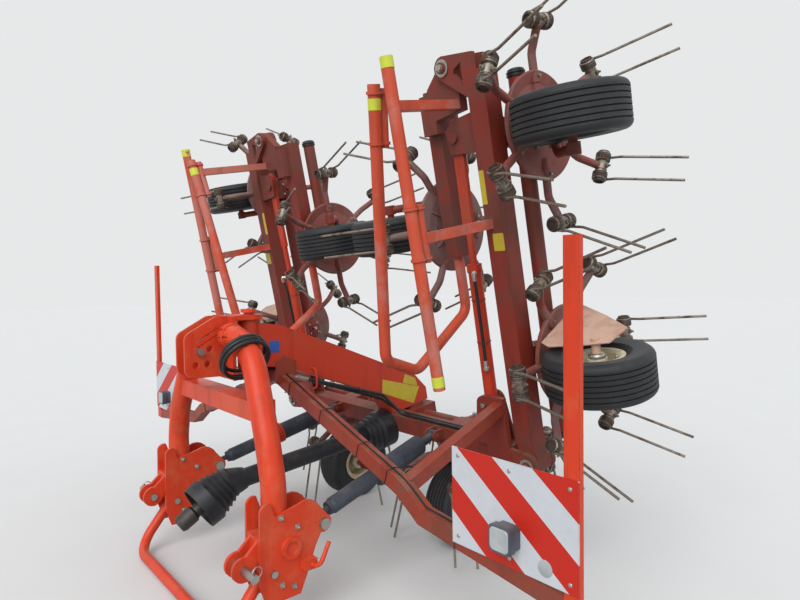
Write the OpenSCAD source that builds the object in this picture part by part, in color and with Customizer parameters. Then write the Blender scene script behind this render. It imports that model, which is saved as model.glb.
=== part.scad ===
// Mounted hay tedder with eight rotors, folded for transport and parked.
// Millimetres. Front (hitch) is -Y, the machine's left is +X, ground is Z = 0.
// The wings are written as they lie at work and are then folded up.
// There, x runs along the wing, y to the rear and z is the height above ground.

/* [Stance] */
// Forward lean of the rotor frame, in degrees
frame_tilt = 11; // [9:0.5:12]

/* [Rotors] */
// Distance between neighbouring rotor shafts
rotor_pitch = 850; // [835:5:880]
// Rotor shafts behind the frame's own zero line
rotor_y = 250; // [240:1:260]
// Number of tine arms on a rotor
arm_count = 6; // [5:1:7]
// Radius of the ring of tine coils
coil_ring_r = 350; // [335:1:365]
// Radius that the tine tips sweep
tip_r = 465; // [450:1:480]
// Height of the tine arms above ground
arm_z = 405; // [400:1:412]
// Height of the tine tips above ground
tip_z = 68; // [60:1:90]
// Diameter of a tine arm
arm_d = 30; // [26:1:34]
// Diameter of the tine wire
tine_d = 10; // [9:0.5:12]
// Spacing of the two tines of a pair
tine_gap = 112; // [104:1:130]
// Outer diameter of a tine coil
coil_d = 56; // [50:1:60]
// Drop of the coils below the arms' roots
coil_drop = 55; // [45:1:60]
// Radius of the rotor disc
disc_r = 195; // [185:1:205]
// Running gap of a rotor on its fixed axle, on the radius
rotor_gap = 1; // [0.5:0.1:2]

/* [Wheels] */
// Tyre diameter
tyre_d = 370; // [360:1:380]
// Tyre width
tyre_w = 150; // [140:1:155]
// Rim seat diameter
rim_d = 164; // [156:1:180]
// Number of tread grooves
groove_count = 6; // [4:1:7]
// Wheel axles behind the frame's own zero line
wheel_y = 100; // [95:1:110]
// Wheel axle diameter
axle_d = 30; // [25:1:34]
// Running fit of a wheel on its axle, on the radius
axle_fit = 0.05; // [0.02:0.01:0.1]

/* [Frame] */
// Height of the wing and centre beams, also their width
beam_w = 80; // [76:1:86]
// Beam centre line behind the frame's own zero line
beam_y = 95; // [92:1:98]
// Height of the beam centre line above ground
beam_z = 500; // [495:1:505]
// Centre plane to the wing fold pin
fold_x = 880; // [875:1:890]
// Height of the wing fold pin above ground
fold_z = 480; // [475:1:485]
// Third rotor's shaft to the outer section's fold pin
outer_reach = 265; // [255:1:275]
// Height of the outer section's fold pin above ground, at work
outer_z = 645; // [640:1:655]
// Diameter of the fold pins
fold_pin_d = 40; // [34:1:44]
// Thickness of the hinge plates
lug_t = 20; // [16:1:22]
// Running fit of the hinges, on the radius
pin_fit = 0.05; // [0.02:0.01:0.1]
// Diameter of the drive tubes between the gear cases
drive_d = 60; // [50:1:66]
// Diameter of the fixed axle tube under a gear case
leg_d = 56; // [50:1:60]

/* [Main beam] */
// Width of the main beam
main_w = 110; // [100:1:116]
// Hitch pivot in front of the frame's zero line
pivot_y = 760; // [750:1:770]
// Hitch pivot pin diameter
pivot_d = 40; // [36:1:50]

/* [Hitch] */
// Half distance between the lower link ears
link_x = 450; // [440:1:460]
// Lower link pins in front of the frame's zero line
link_y = 1030; // [1025:1:1040]
// Height of the lower link pins
link_z = 250; // [245:1:260]
// Lower link pin diameter
link_pin_d = 28; // [22:1:30]
// Top link pin diameter
top_pin_d = 25.4; // [19:0.1:26]
// Height of the top link pin
top_z = 930; // [925:1:940]
// Gap between the top link plates
top_gap = 70; // [60:1:80]
// Arch tube diameter
arch_d = 89; // [80:1:95]
// Thickness of the hitch plates
hitch_t = 12; // [10:1:14]
// Diameter of the parking stand bar
stand_d = 42; // [36:1:46]

/* [Guards] */
// Front guard in front of the frame's zero line
guard_y = 625; // [622:1:640]
// Guard tube diameter on the wings
guard_d = 42; // [38:1:46]
// Square tube of the front guard
guard_w = 50; // [44:1:54]
// Centre plane to the marker posts
post_x = 1475; // [1465:1:1478]
// Height of the marker posts' tops
post_top = 1300; // [1200:10:1400]
// Width of the marker posts
post_w = 45; // [40:1:50]
// Thickness of the marker posts
post_t = 16; // [12:1:20]
// Marker board width
board_w = 423; // [400:1:430]
// Marker board height
board_h = 282; // [260:1:300]

/* [Cylinders] */
// Lift barrel diameter
barrel_d = 52; // [46:1:56]
// Lift rod diameter
rod_d = 28; // [24:1:32]
// Fit of a rod in its barrel, on the radius
rod_fit = 0.05; // [0.02:0.01:0.1]
// Damper barrel diameter
damper_d = 84; // [78:1:88]
// Diameter of the damper rod's sleeve
damper_rod_d = 62; // [56:1:64]

/* [Hidden] */
$fn = 48;
left = 1;
right = -1;

// Rotor places along the machine, from the centre outwards
rotor_x = [for (i = [0:3]) (i + 0.5) * rotor_pitch];
outer_x = rotor_x[2] + outer_reach;
arm_pitch = 360 / arm_count;
// Neighbouring rotors interleave: the angles of any two add up to this
phase_sum = 180 - arm_pitch / 2;
function rotor_phase(side, i) =
    (side == left) == (i % 2 == 0) ? 0 : phase_sum;

// Wheels: the centre pair stands on the ground below the leaning frame
tyre_r = tyre_d / 2;
rim_r = rim_d / 2;
axle_z = (tyre_r - wheel_y * sin(frame_tilt)) / cos(frame_tilt);
leg_side = tyre_w / 2 + 32;
hub_r = 34;
axle_stub = 60;
wheel_half = tyre_w / 2;
rim_half = wheel_half - 18;
rim_wall = 4;
rim_lip = 11;

// Gear cases
case_z = 470;
case_r = 82;
case_bottom = 432;

// The part's origin lies under the middle of its box
front_reach = link_y + 58;
rear_reach = (rotor_y + tip_r) * cos(frame_tilt) - tip_z * sin(frame_tilt);
origin_shift = (front_reach - rear_reach) / 2;

// A point [y, z] of the leaning frame, as it lies in the upright frame
function level(y, z) = [
    y * cos(frame_tilt) - z * sin(frame_tilt), y * sin(frame_tilt) + z * cos(frame_tilt)
];
coil_z = arm_z - coil_drop;
// Beam of the outer section, nearer to the rotor shaft
outer_w = 70;
outer_y = beam_y + 55;
outer_back = outer_y + outer_w / 2;
// Gap between pieces that seat on each other
seat = 0.3;
beam_front = beam_y - beam_w / 2;
beam_back = beam_y + beam_w / 2;
beam_top = beam_z + beam_w / 2;

// Underside of the main beam, as [y, z]
main_under = [[-620, 832], [-350, 735], [-90, 640]];

// Lift cylinder: foot on the centre beam, eye on the wing
lift_side = 3;
lift_y = beam_front + barrel_d / 2 + lift_side;
lift_foot = [700, 700];
lift_eye = [2140, 645];
// The eye as it lies with the wing folded up
lift_eye_up = [fold_x - (lift_eye.y - fold_z), fold_z + (lift_eye.x - fold_x)];
lift_up = lift_eye_up - lift_foot;
lift_len = norm(lift_up);
lift_lean = atan2(lift_up.x, lift_up.y);
barrel_len = 560;
rod_inner = 60;
link_t = 16;

// Damper ends, on the left side, in the upright frame
damper_x = 387;
damper_back = [beam_front - 41, beam_top - 21];
damper_foot = concat([damper_x], level(damper_back.x, damper_back.y));
damper_eye = [446, -735, 335];
damper_run = damper_eye - damper_foot;
damper_len = norm(damper_run);
damper_eye_w = 34;
damper_pin_d = 22;

// Stand pivot, in the upright frame
stand_pivot = [link_x, -935, 215];
stand_foot_y = -1088;

module painted() { color([0.86, 0.27, 0.13]) children(); }
module faded() { color([0.75, 0.33, 0.22]) children(); }
module steel() { color([0.55, 0.55, 0.53]) children(); }
module dark() { color([0.13, 0.13, 0.14]) children(); }

// Frame placements
module upright() { translate([0, origin_shift, 0]) children(); }
module tilted() { upright() rotate([frame_tilt, 0, 0]) children(); }
module on_side(side) {
    if (side == left) children();
    else mirror([1, 0, 0]) children();
}
module turn_about(x, z, angle) {
    translate([x, 0, z]) rotate([0, angle, 0]) translate([-x, 0, -z]) children();
}
module wing(side) { tilted() on_side(side) turn_about(fold_x, fold_z, -90) children(); }
module outer(side) { wing(side) turn_about(outer_x, outer_z, 180) children(); }
// Section of the machine that carries rotor i
module section(side, i) {
    if (i == 0) tilted() on_side(side) children();
    else if (i == 3) outer(side) children();
    else wing(side) children();
}

// Round bar from a to b
module bar(a, b, d) {
    run = b - a;
    translate(a) rotate([0, acos(run.z / norm(run)), atan2(run.y, run.x)]) cylinder(d = d, h = norm(run));
}
// Round tube through a list of points, its corners bent to bend_r at the centre line
function unit(v) = v / norm(v);
function trim(points, i, bend_r) =
    i == 0 || i == len(points) - 1 ? 0 :
    let (u = unit(points[i] - points[i - 1]), v = unit(points[i + 1] - points[i]))
    bend_r * tan(acos(min(1, u * v)) / 2);
module bent_tube(points, d, bend_r) {
    lap = 1;
    slack = max(0.05, d / 400);
    last = len(points) - 1;
    for (i = [1:last]) {
        u = unit(points[i] - points[i - 1]);
        bar(points[i - 1] + u * (trim(points, i - 1, bend_r) - (i == 1 ? 0 : lap)),
            points[i] - u * (trim(points, i, bend_r) - (i == last ? 0 : lap)), d);
    }
    for (i = [1:last - 1]) {
        u = unit(points[i] - points[i - 1]);
        v = unit(points[i + 1] - points[i]);
        turn = acos(u * v);
        n = unit(v - (u * v) * u);
        c = points[i] - u * trim(points, i, bend_r) + n * bend_r;
        k = cross(-n, u);
        multmatrix([[-n.x, u.x, k.x, c.x], [-n.y, u.y, k.y, c.y], [-n.z, u.z, k.z, c.z], [0, 0, 0, 1]])
            rotate_extrude(angle = turn) translate([bend_r, 0]) circle(d = d - slack);
    }
}
// Square bar from a to b, with two faces upright
module square_bar(a, b, w) {
    run = b - a;
    flat = norm([run.x, run.y]);
    translate(a) rotate([0, atan2(flat, run.z), atan2(run.y, run.x)])
        translate([-w / 2, -w / 2, 0]) cube([w, w, norm(run)]);
}
// Square tube that follows points [x, z] in the plane across at y, mitred at its corners
module cross_tube(y, w, points) {
    last = len(points) - 1;
    function side_of(i) =
        let (u = unit(points[max(1, i)] - points[max(1, i) - 1]), v = unit(points[min(last, i + 1)] - points[min(last, i + 1) - 1]),
            n = unit([-u.y - v.y, u.x + v.x])) n * w / 2 / (n * [-u.y, u.x]);
    cross_plate(y, w, concat(
        [for (i = [0:last]) points[i] + side_of(i)],
        [for (i = [last:-1:0]) points[i] - side_of(i)]
    ));
}
// Plate in the fore and aft plane, from points given as [y, z]
module side_plate(x, t, points) {
    translate([x - t / 2, 0, 0]) rotate([90, 0, 90]) linear_extrude(t) polygon(points);
}
// Plate across, in the plane of a fold, from points given as [x, z]
module cross_plate(y, t, points) {
    translate([0, y + t / 2, 0]) rotate([90, 0, 0]) linear_extrude(t) polygon(points);
}
module cross_pin(x, y, z, d, length) {
    translate([x, y - length / 2, z]) rotate([-90, 0, 0]) cylinder(d = d, h = length);
}
module side_pin(x, y, z, d, length) {
    translate([x - length / 2, y, z]) rotate([0, 90, 0]) cylinder(d = d, h = length);
}
function arc_points(c, r, from, to, steps) =
    [for (i = [0:steps]) let (a = from + (to - from) * i / steps) c + r * [cos(a), sin(a)]];

// Wheels
module tyre(x) {
    shoulder = 26;
    bead = rim_half - rim_wall - 1.4;
    groove = 5;
    tread = tyre_w - 2 * shoulder - 8;
    translate([x, wheel_y, axle_z]) rotate([0, 90, 0]) dark() difference() {
        rotate_extrude($fn = 96) polygon(concat(
            [[rim_r + 0.3, -bead], [rim_r + rim_lip + 1, -bead - 1], [rim_r + 34, -wheel_half + 5]],
            arc_points([tyre_r - shoulder, -wheel_half + shoulder], shoulder, -90, -12, 5),
            arc_points([tyre_r - shoulder, wheel_half - shoulder], shoulder, 12, 90, 5),
            [[rim_r + 34, wheel_half - 5], [rim_r + rim_lip + 1, bead + 1], [rim_r + 0.3, bead]]
        ));
        for (i = [0:groove_count - 1])
            translate([0, 0, (groove_count == 1 ? 0 : (i / (groove_count - 1) - 0.5) * tread) - groove / 2])
                difference() {
                    cylinder(r = tyre_r + 5, h = groove);
                    translate([0, 0, -1]) cylinder(r = tyre_r - 9, h = groove + 2);
                }
    }
}
module rim(x) {
    half = rim_half;
    lip = rim_r + rim_lip;
    wall = rim_wall;
    bore_r = axle_d / 2 + axle_fit;
    translate([x, wheel_y, axle_z]) rotate([0, 90, 0]) color([0.80, 0.76, 0.64]) difference() {
        rotate_extrude($fn = 96) polygon([
            [bore_r, -50], [hub_r, -50], [hub_r, -8], [rim_r - 12, 12], [rim_r - 12, -half + 8],
            [rim_r - wall, -half], [lip, -half - 1], [lip, -half + wall], [rim_r, -half + wall + 1],
            [rim_r, half - wall - 1], [lip, half - wall], [lip, half + 1], [rim_r - wall, half],
            [rim_r - 12, half - 8], [rim_r - 12, 22], [hub_r, 2], [hub_r, 50], [bore_r, 50]
        ]);
        for (i = [0:4]) rotate([0, 0, i * 72]) translate([hub_r + 16, 0, -30]) cylinder(d = 12, h = 60);
    }
}

// Rotors: a domed disc on the fixed axle, with arms, coils and pairs of tines
module tine_coil(length) {
    turns = 4;
    pitch = length / turns;
    deep = coil_d / 2 - 4;
    rotate_extrude() polygon(concat(
        [[0, 0], [deep, 0]],
        [for (i = [0:turns - 1]) each [
            [coil_d / 2, (i + 0.3) * pitch], [coil_d / 2, (i + 0.7) * pitch], [deep, (i + 1) * pitch]
        ]],
        [[0, length]]
    ));
}
module tine_arm() {
    coil_l = 34;
    wire_r = coil_ring_r + coil_d / 2 - tine_d / 2 - 1;
    root_z = arm_z - 14;
    bent_tube([
        [disc_r - 80, 0, root_z], [coil_ring_r - 95, 0, root_z + 2], [coil_ring_r, 0, coil_z]
    ], arm_d, 60);
    bar([coil_ring_r, -tine_gap / 2, coil_z], [coil_ring_r, tine_gap / 2, coil_z], arm_d + 8);
    for (s = [-1, 1]) {
        translate([coil_ring_r, s * (tine_gap / 2 - coil_l / 2) + coil_l / 2, coil_z]) rotate([90, 0, 0])
            tine_coil(coil_l);
        bent_tube([
            [wire_r, s * (tine_gap / 2 - tine_d), coil_z],
            [wire_r + 6, s * (tine_gap / 2 - tine_d), coil_z - 55],
            [tip_r, s * (tine_gap / 2 - tine_d), tip_z]
        ], tine_d, 60);
    }
}
module rotor(side, i) {
    hub_bore = leg_d / 2 + rotor_gap;
    lip = 12;
    x = rotor_x[i];
    phase = rotor_phase(side, i);
    translate([x, rotor_y, 0]) {
        rotate_extrude($fn = 72) polygon([
            [hub_bore, arm_z - 22], [hub_bore + 22, arm_z - 22], [disc_r - 45, arm_z - 12], [disc_r - 6, arm_z - 24],
            [disc_r, arm_z - 20], [disc_r - 3, arm_z - 8], [disc_r - 42, arm_z + 4],
            [case_r - 18, arm_z + 14], [case_r - 18, case_bottom - 6], [hub_bore, case_bottom - 6]
        ]);
        for (k = [0:arm_count - 1]) rotate([0, 0, phase + k * arm_pitch]) tine_arm();
    }
}

// Gear case of one rotor, with the fixed axle below it and the wheel leg
module gear_case(x, back) {
    neck = 58;
    stub_z = axle_z + sqrt(pow(tyre_r + 8, 2) - pow(rotor_y - leg_d / 2 - wheel_y, 2));
    leg_z = stub_z + 17;
    translate([x, rotor_y, 0]) rotate_extrude() polygon([
        [0, stub_z], [leg_d / 2, stub_z], [leg_d / 2, case_bottom], [case_r, case_bottom],
        [case_r, case_bottom + 14], [neck + 12, case_bottom + 18], [neck, case_bottom + 40],
        [neck, case_z + 36], [neck - 10, case_z + 46], [neck - 30, case_z + 54], [0, case_z + 54]
    ]);
    // Bracket to the beam
    reach = rotor_y - back - 40;
    for (z = [beam_z - 34, beam_z + 18]) translate([x - 45, back, z]) cube([90, reach, 14]);
    for (s = [-1, 1]) side_plate(x + s * 48, 8, [
        [back, beam_z - 34], [back, beam_z + 32], [back + reach - 8, beam_z + 32], [back + reach + 4, beam_z + 20],
        [back + reach + 4, beam_z - 34]
    ]);
    // Leg beside the tyre, and the wheel's axle
    bent_tube([
        [x, rotor_y, leg_z],
        [x - leg_side, rotor_y, leg_z],
        [x - leg_side, wheel_y, axle_z]
    ], 34, 45);
    side_pin(x - leg_side, wheel_y, axle_z, 46, 40);
    side_pin(x + (axle_stub - leg_side) / 2, wheel_y, axle_z, axle_d, leg_side + axle_stub);
}
module drive_tube(from, to) {
    translate([from, rotor_y, case_z]) rotate([0, 90, 0]) cylinder(d = drive_d, h = to - from);
}

// Centre section
neck_r = 44;
module centre_beam() {
    reach = fold_x - 76;
    half = beam_w / 2;
    pin_len = beam_w + 2 * lug_t + 20;
    notch = neck_r + 6;
    foot_half = barrel_d / 2 + lift_side;
    faded() tilted() difference() {
        union() {
            translate([-reach, beam_front, beam_z - half]) cube([2 * reach, beam_w, beam_w]);
            for (side = [left, right]) on_side(side) {
                for (s = [-1, 1]) cross_plate(beam_y + s * (half + lug_t / 2), lug_t, concat(
                    [[reach - 120, beam_top], [reach - 120, beam_z - half]],
                    arc_points([fold_x, fold_z], 46, -90, 90, 8),
                    [[lift_foot.x + 60, beam_top]]
                ));
                // Foot of the lift cylinder: the front plate also carries the guard's brace
                cross_plate(beam_front - lug_t / 2, lug_t, concat(
                    [[lift_foot.x - 70, beam_top - 10]],
                    arc_points(lift_foot, 38, 180, 90, 5),
                    [[reach - 2, lift_foot.y + 38], [reach - 2, beam_top - 10]]
                ));
                cross_plate(lift_y + foot_half + 6, 12, concat(
                    [[lift_foot.x - 70, beam_top - 10]],
                    arc_points(lift_foot, 38, 180, 0, 8),
                    [[lift_foot.x + 70, beam_top - 10]]
                ));
                cross_pin(lift_foot.x, lift_y - (lug_t - 12) / 2, lift_foot.y, 25, 2 * foot_half + lug_t + 24);
                cross_pin(fold_x, beam_y, fold_z, fold_pin_d, pin_len);
                // Clevis of the damper
                for (s = [-1, 1]) side_plate(damper_x + s * (damper_eye_w / 2 + 9), 12, concat(
                    [[beam_front + 1, beam_top - 1]],
                    arc_points(damper_back, 24, 90, 270, 6),
                    [[beam_front + 1, beam_top - 50]]
                ));
                side_pin(damper_x, damper_back.x, damper_back.y, damper_pin_d, damper_eye_w + 46);
            }
        }
        // Passage of the gearbox's input neck
        translate([-notch, beam_front - 1, beam_z - half - 1]) cube([2 * notch, beam_w + 2, case_z + notch - beam_z + half + 1]);
    }
}
module main_beam() {
    sleeve_r = 48;
    sleeve_z = [832 + seat, 1042 - seat];
    faded() upright() {
        difference() {
            union() {
                side_plate(0, main_w, concat(
                    [[-pivot_y + 20, 850]], main_under,
                    [level(beam_front + 12, beam_top), level(300, beam_top), level(300, beam_top + 62)],
                    [[110, 715], [-100, 800], [-410, 925], [-640, 1012], [-pivot_y + 20, 1030]]
                ));
                translate([0, -pivot_y, sleeve_z[0]]) cylinder(r = sleeve_r, h = sleeve_z[1] - sleeve_z[0]);
            }
            translate([0, -pivot_y, 0]) cylinder(d = pivot_d + 2 * pin_fit, h = 2000);
        }
    }
}
module centre_gear() {
    box_half = 85;
    box_top = beam_top - 18;
    // The arms pass below the gearbox
    box_z = arm_z + coil_d / 2 + 8;
    faded() tilted() {
        for (side = [left, right]) on_side(side) {
            gear_case(rotor_x[0], beam_back);
            drive_tube(box_half - 20, rotor_x[0] - 40);
            drive_tube(rotor_x[0] + 40, fold_x - 60);
        }
        // Centre gearbox, bolted to the back of the beam
        translate([-box_half, beam_back + 5, box_z]) cube([2 * box_half, 180, box_top - box_z]);
        translate([-box_half - 20, beam_back, box_z]) cube([2 * box_half + 40, 16, box_top - box_z]);
        translate([0, beam_front - 15, case_z]) rotate([-90, 0, 0]) cylinder(r = neck_r, h = beam_w + 22);
        translate([0, beam_back + 95, box_top - 5]) cylinder(r = 62, h = beam_top - seat - box_top + 5);
    }
}
module input_guard() {
    length = 150;
    wide = 92;
    dark() tilted() translate([0, beam_front - seat - length, case_z]) rotate([-90, 0, 0]) rotate_extrude() polygon([
        [neck_r + 4, 0], [72, 0], [72, 14], [66, 20], [78, 28], [78, 40], [72, 46], [84, 54], [84, 66], [78, 72],
        [wide, 84], [wide, length], [wide - 6, length], [wide - 9, 88], [neck_r + 4, 20]
    ]);
}
module front_guard() {
    y = -guard_y;
    half = guard_w / 2;
    apex_z = lookup(y + half, main_under) - seat - guard_w * 0.53;
    knee = [820, y, 522];
    painted() upright() for (side = [left, right]) on_side(side) {
        cross_tube(y, guard_w, [[-1, apex_z], [knee.x, knee.z], [925, 455], [post_x - post_w / 2 + 1, 392]]);
        // Brace to the plate at the centre beam's end
        difference() {
            square_bar(knee + [-2, guard_w / 2 - 4, 0], concat([fold_x - 106], level(beam_front + 20, lift_foot.y + 5)),
                guard_w - 4);
            rotate([frame_tilt, 0, 0]) translate([0, beam_front - lug_t - seat, 0]) cube([1500, 300, 1500]);
        }
        translate([post_x - post_w / 2, y - half, 370]) cube([post_w, post_t, post_top - 370]);
        // Plate beside the main beam
        side_plate(main_w / 2 + seat + 5, 10, [
            [y - 45, apex_z - 30], [y + 45, apex_z - 30], [y + 45, apex_z + 60], [y - 10, apex_z + 85], [y - 45, apex_z + 60]
        ]);
    }
}
board_t = 4;
board_front = -guard_y - guard_w / 2 - seat - board_t;
module marker_boards() {
    color([0.93, 0.93, 0.92]) upright() for (side = [left, right]) on_side(side)
        translate([post_x + post_w / 2 - board_w, board_front, 432]) cube([board_w, board_t, board_h]);
}
// Square block with round corners
module lamp_block(half, corner, height) {
    c = half - corner;
    linear_extrude(height) polygon([
        for (q = [0:3]) let (m = [[c, c], [-c, c], [-c, -c], [c, -c]][q])
            each arc_points(m, corner, 90 * q, 90 * q + 90, 4)
    ]);
}
module lamps() {
    dark() upright() for (side = [left, right]) on_side(side)
        translate([1290, board_front - seat, 520]) rotate([90, 0, 0]) {
            lamp_block(33, 12, 26);
            translate([0, 0, 25]) lamp_block(37, 14, 20);
        }
}

// Input shaft, from the gearbox's neck to the joint at the tractor
pto_back = concat([0], level(beam_front - 70, case_z));
pto_joint = [0, -870, 378];
pto_front = [0, -1056, 266];
pto_bore_d = 34.9;
pto_d = 36;
module along(from, to) {
    run = to - from;
    translate(from) rotate([0, acos(run.z / norm(run)), atan2(run.y, run.x)]) children();
}
module pto_shaft() {
    bore_r = pto_bore_d / 2;
    tail = norm(pto_front - pto_joint);
    steel() upright() {
        bar(pto_back, pto_joint, pto_d);
        translate(pto_back) sphere(d = 74);
        bar(pto_back, concat([0], level(beam_front - 15 - seat, case_z)), 60);
        translate(pto_joint) sphere(d = 74);
        along(pto_joint, pto_front) rotate_extrude() polygon([
            [0, 0], [26, 0], [26, tail - 60], [34, tail - 52], [34, tail], [28, tail + 14],
            [bore_r, tail + 14], [bore_r, tail - 70], [0, tail - 70]
        ]);
    }
}
module pto_guard() {
    run = pto_joint - pto_back;
    length = norm(run) - 100;
    wall = 7;
    tube_r = 38;
    bearing_r = pto_d / 2 + seat;
    cone = 75;
    dark() upright() {
        along(pto_back + unit(run) * 50, pto_joint) rotate_extrude() polygon([
            [bearing_r, 0], [tube_r, 0], [tube_r, length], [bearing_r, length], [bearing_r, length - 14],
            [tube_r - wall, length - 14], [tube_r - wall, 14], [bearing_r, 14]
        ]);
        // Bellows over the front joint
        difference() {
            union() {
                along(pto_joint - unit(run) * cone, pto_joint) rotate_extrude() polygon([
                    [0, 0], [tube_r + 6, 0], [tube_r + 12, 20], [62, cone], [0, cone]
                ]);
                along(pto_joint, pto_front) rotate_extrude() polygon([
                    [0, -20], [60, -20], [68, -4], [62, 4], [76, 18], [68, 26], [82, 40], [74, 48], [88, 62],
                    [80, 70], [94, 86], [90, 140], [0, 140]
                ]);
            }
            along(pto_joint - unit(run) * (cone + 1), pto_joint) rotate_extrude() polygon([
                [0, 0], [tube_r + seat, 0], [tube_r + seat, 28], [54, cone + 1], [0, cone + 1]
            ]);
            along(pto_joint, pto_front) rotate_extrude() polygon([[0, -25], [50, -25], [84, 86], [86, 141], [0, 141]]);
        }
    }
}

// Dampers between the hitch and the centre beam
damper_bore_start = 105;
damper_front = 355;
damper_stroke = 95;
module damper_barrels() {
    dark() upright() for (side = [left, right]) on_side(side) difference() {
        union() {
            along(damper_foot, damper_eye) rotate_extrude() polygon([
                [0, 0], [17, 0], [17, 72], [damper_d / 2 - 12, 84], [damper_d / 2, 98], [damper_d / 2, damper_front - 36],
                [damper_d / 2 + 7, damper_front - 36], [damper_d / 2 + 7, damper_front - 26],
                [damper_d / 2 + 1, damper_front - 26], [damper_d / 2 + 1, damper_front - 23],
                [damper_d / 2 + 7, damper_front - 23], [damper_d / 2 + 7, damper_front - 13],
                [damper_d / 2 + 1, damper_front - 13], [damper_d / 2 + 1, damper_front - 10],
                [damper_d / 2 + 7, damper_front - 10], [damper_d / 2 + 7, damper_front], [0, damper_front]
            ]);
            side_pin(damper_foot.x, damper_foot.y, damper_foot.z, 42, damper_eye_w);
        }
        along(damper_foot, damper_eye) translate([0, 0, damper_bore_start])
            cylinder(d = damper_rod_d + 2 * rod_fit, h = damper_front);
        side_pin(damper_foot.x, damper_foot.y, damper_foot.z, damper_pin_d + 2 * pin_fit, 200);
    }
}
module damper_rod(side) {
    inner = damper_bore_start + damper_stroke + 5;
    neck = damper_len - 62;
    r = damper_rod_d / 2;
    dark() upright() on_side(side) {
        along(damper_foot, damper_eye) rotate_extrude() polygon([
            [0, inner], [r, inner], [r, neck - 22], [r - 4, neck - 14], [r - 6, neck],
            [12, neck], [12, damper_len], [0, damper_len]
        ]);
        side_pin(damper_eye.x, damper_eye.y, damper_eye.z, 50, damper_eye_w);
    }
}

// Hitch
leg_y = -pivot_y - 140;
arch_bend = 240;
module hitch_frame() {
    back_y = -pivot_y - 100;
    channel_x = 362;
    painted() upright() difference() {
        union() {
            for (side = [left, right]) on_side(side) {
                bent_tube([
                    [80, back_y - 20, 986], [255, back_y - 20, 986], [414, leg_y, 640],
                    [link_x, leg_y, 500], [link_x, leg_y, 372]
                ], arch_d, arch_bend);
                // Welded collar at the arch tube's inner end
                bar([80, back_y - 20, 986], [110, back_y - 20, 986], arch_d + 12);
                side_plate(top_gap / 2 + hitch_t / 2, hitch_t, concat(
                    arc_points([-1012, 975], 34, 180, 110, 4),
                    arc_points([-915, 1030], 32, 115, 90, 2),
                    [[back_y, 1062], [back_y, 815], [-905, 826]],
                    arc_points([-1008, 866], 38, 280, 180, 5)
                ));
            }
            translate([-94, back_y - 15, 812]) cube([188, 15, 250]);
            // Cross channel between the arch's legs
            translate([-channel_x, back_y - 62, 700]) difference() {
                cube([2 * channel_x, 84, 70]);
                translate([-1, 8, -8]) cube([2 * channel_x + 2, 68, 70]);
            }
            for (z = [812, 1042]) translate([0, -pivot_y, z]) {
                cylinder(r = 58, h = 20);
                translate([-56, -100, 0]) cube([112, 100, 20]);
            }
            translate([0, -pivot_y, 800]) cylinder(d = pivot_d, h = 280);
            translate([0, -pivot_y, 1070]) cylinder(d = pivot_d + 24, h = 14);
        }
        side_pin(0, -990, top_z, top_pin_d + 2 * pin_fit, 300);
        for (hole = [[-958, 880], [-1004, 878], [-948, 938]]) side_pin(0, hole.x, hole.y, top_pin_d, 300);
        // Long slots below the plates' upper edge
        for (drop = [0, 25]) side_plate(0, 300, [
            [-1006, 968 - drop], [-916, 1019 - drop], [-913, 1013 - drop], [-1003, 962 - drop]
        ]);
    }
}
module hitch_brackets() {
    inner = arch_d / 2 + 0.2;
    outer = inner + hitch_t;
    boss = [-868, 285];
    ear_x = 27;
    ear_t = 14;
    painted() upright() for (side = [left, right]) on_side(side) difference() {
        union() {
            for (s = [-1, 1]) side_plate(link_x + s * (inner + hitch_t / 2), hitch_t, concat(
                arc_points([-953, 428], 28, 190, 70, 5),
                [[-925, 405]],
                arc_points([-805, 372], 62, 120, 25, 5),
                arc_points([damper_eye.y, damper_eye.z], 33, 60, -110, 7),
                [[-770, 262], [-798, 190], [-832, 114], [-960, 110], [-984, 180]]
            ));
            // Block that joins the plates, and the ears of the lower link pin
            translate([link_x - inner - 1, -980, 264]) cube([2 * inner + 2, 54, 78]);
            for (s = [-1, 1]) side_plate(link_x + s * ear_x, ear_t, concat(
                [[-930, 338], [-930, 268], [-975, 256]],
                arc_points([-link_y, link_z], 42, -60, -280, 10),
                [[-972, 338]]
            ));
            side_pin(link_x + outer + 5, boss.x, boss.y, 76, 12);
            // Latch with its handle
            translate([link_x + outer - 1, -830, 200]) cube([32, 48, 34]);
            bent_tube([
                [link_x + outer + 14, -806, 217], [link_x + outer + 66, -796, 217], [link_x + outer + 66, -756, 296]
            ], 16, 30);
        }
        side_pin(link_x + outer + 12, boss.x, boss.y, 46, 14);
        side_pin(link_x, -link_y, link_z, link_pin_d + 2 * pin_fit, 300);
        side_pin(link_x, stand_pivot.y, stand_pivot.z, 24 + 2 * pin_fit, 300);
    }
}
module hitch_pins() {
    stub = 81;
    steel() upright() {
        side_pin(0, -990, top_z, top_pin_d, top_gap + 2 * hitch_t + 60);
        for (side = [left, right]) on_side(side) {
            side_pin(link_x + (stub - 12) / 2, -link_y, link_z, link_pin_d, stub + 12 + 68);
            // Sleeve between the ears
            side_pin(link_x, -link_y, link_z, 46, 39.4);
            side_pin(link_x, stand_pivot.y, stand_pivot.z, 24, arch_d + 2 * hitch_t + 20);
            // Bolt heads at the damper's eye, whose joint is left open
            for (s = [-1, 1]) side_pin(link_x + s * (arch_d / 2 + hitch_t + 2 * seat + 8),
                damper_eye.y, damper_eye.z, 40, 16);
        }
    }
}
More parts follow.
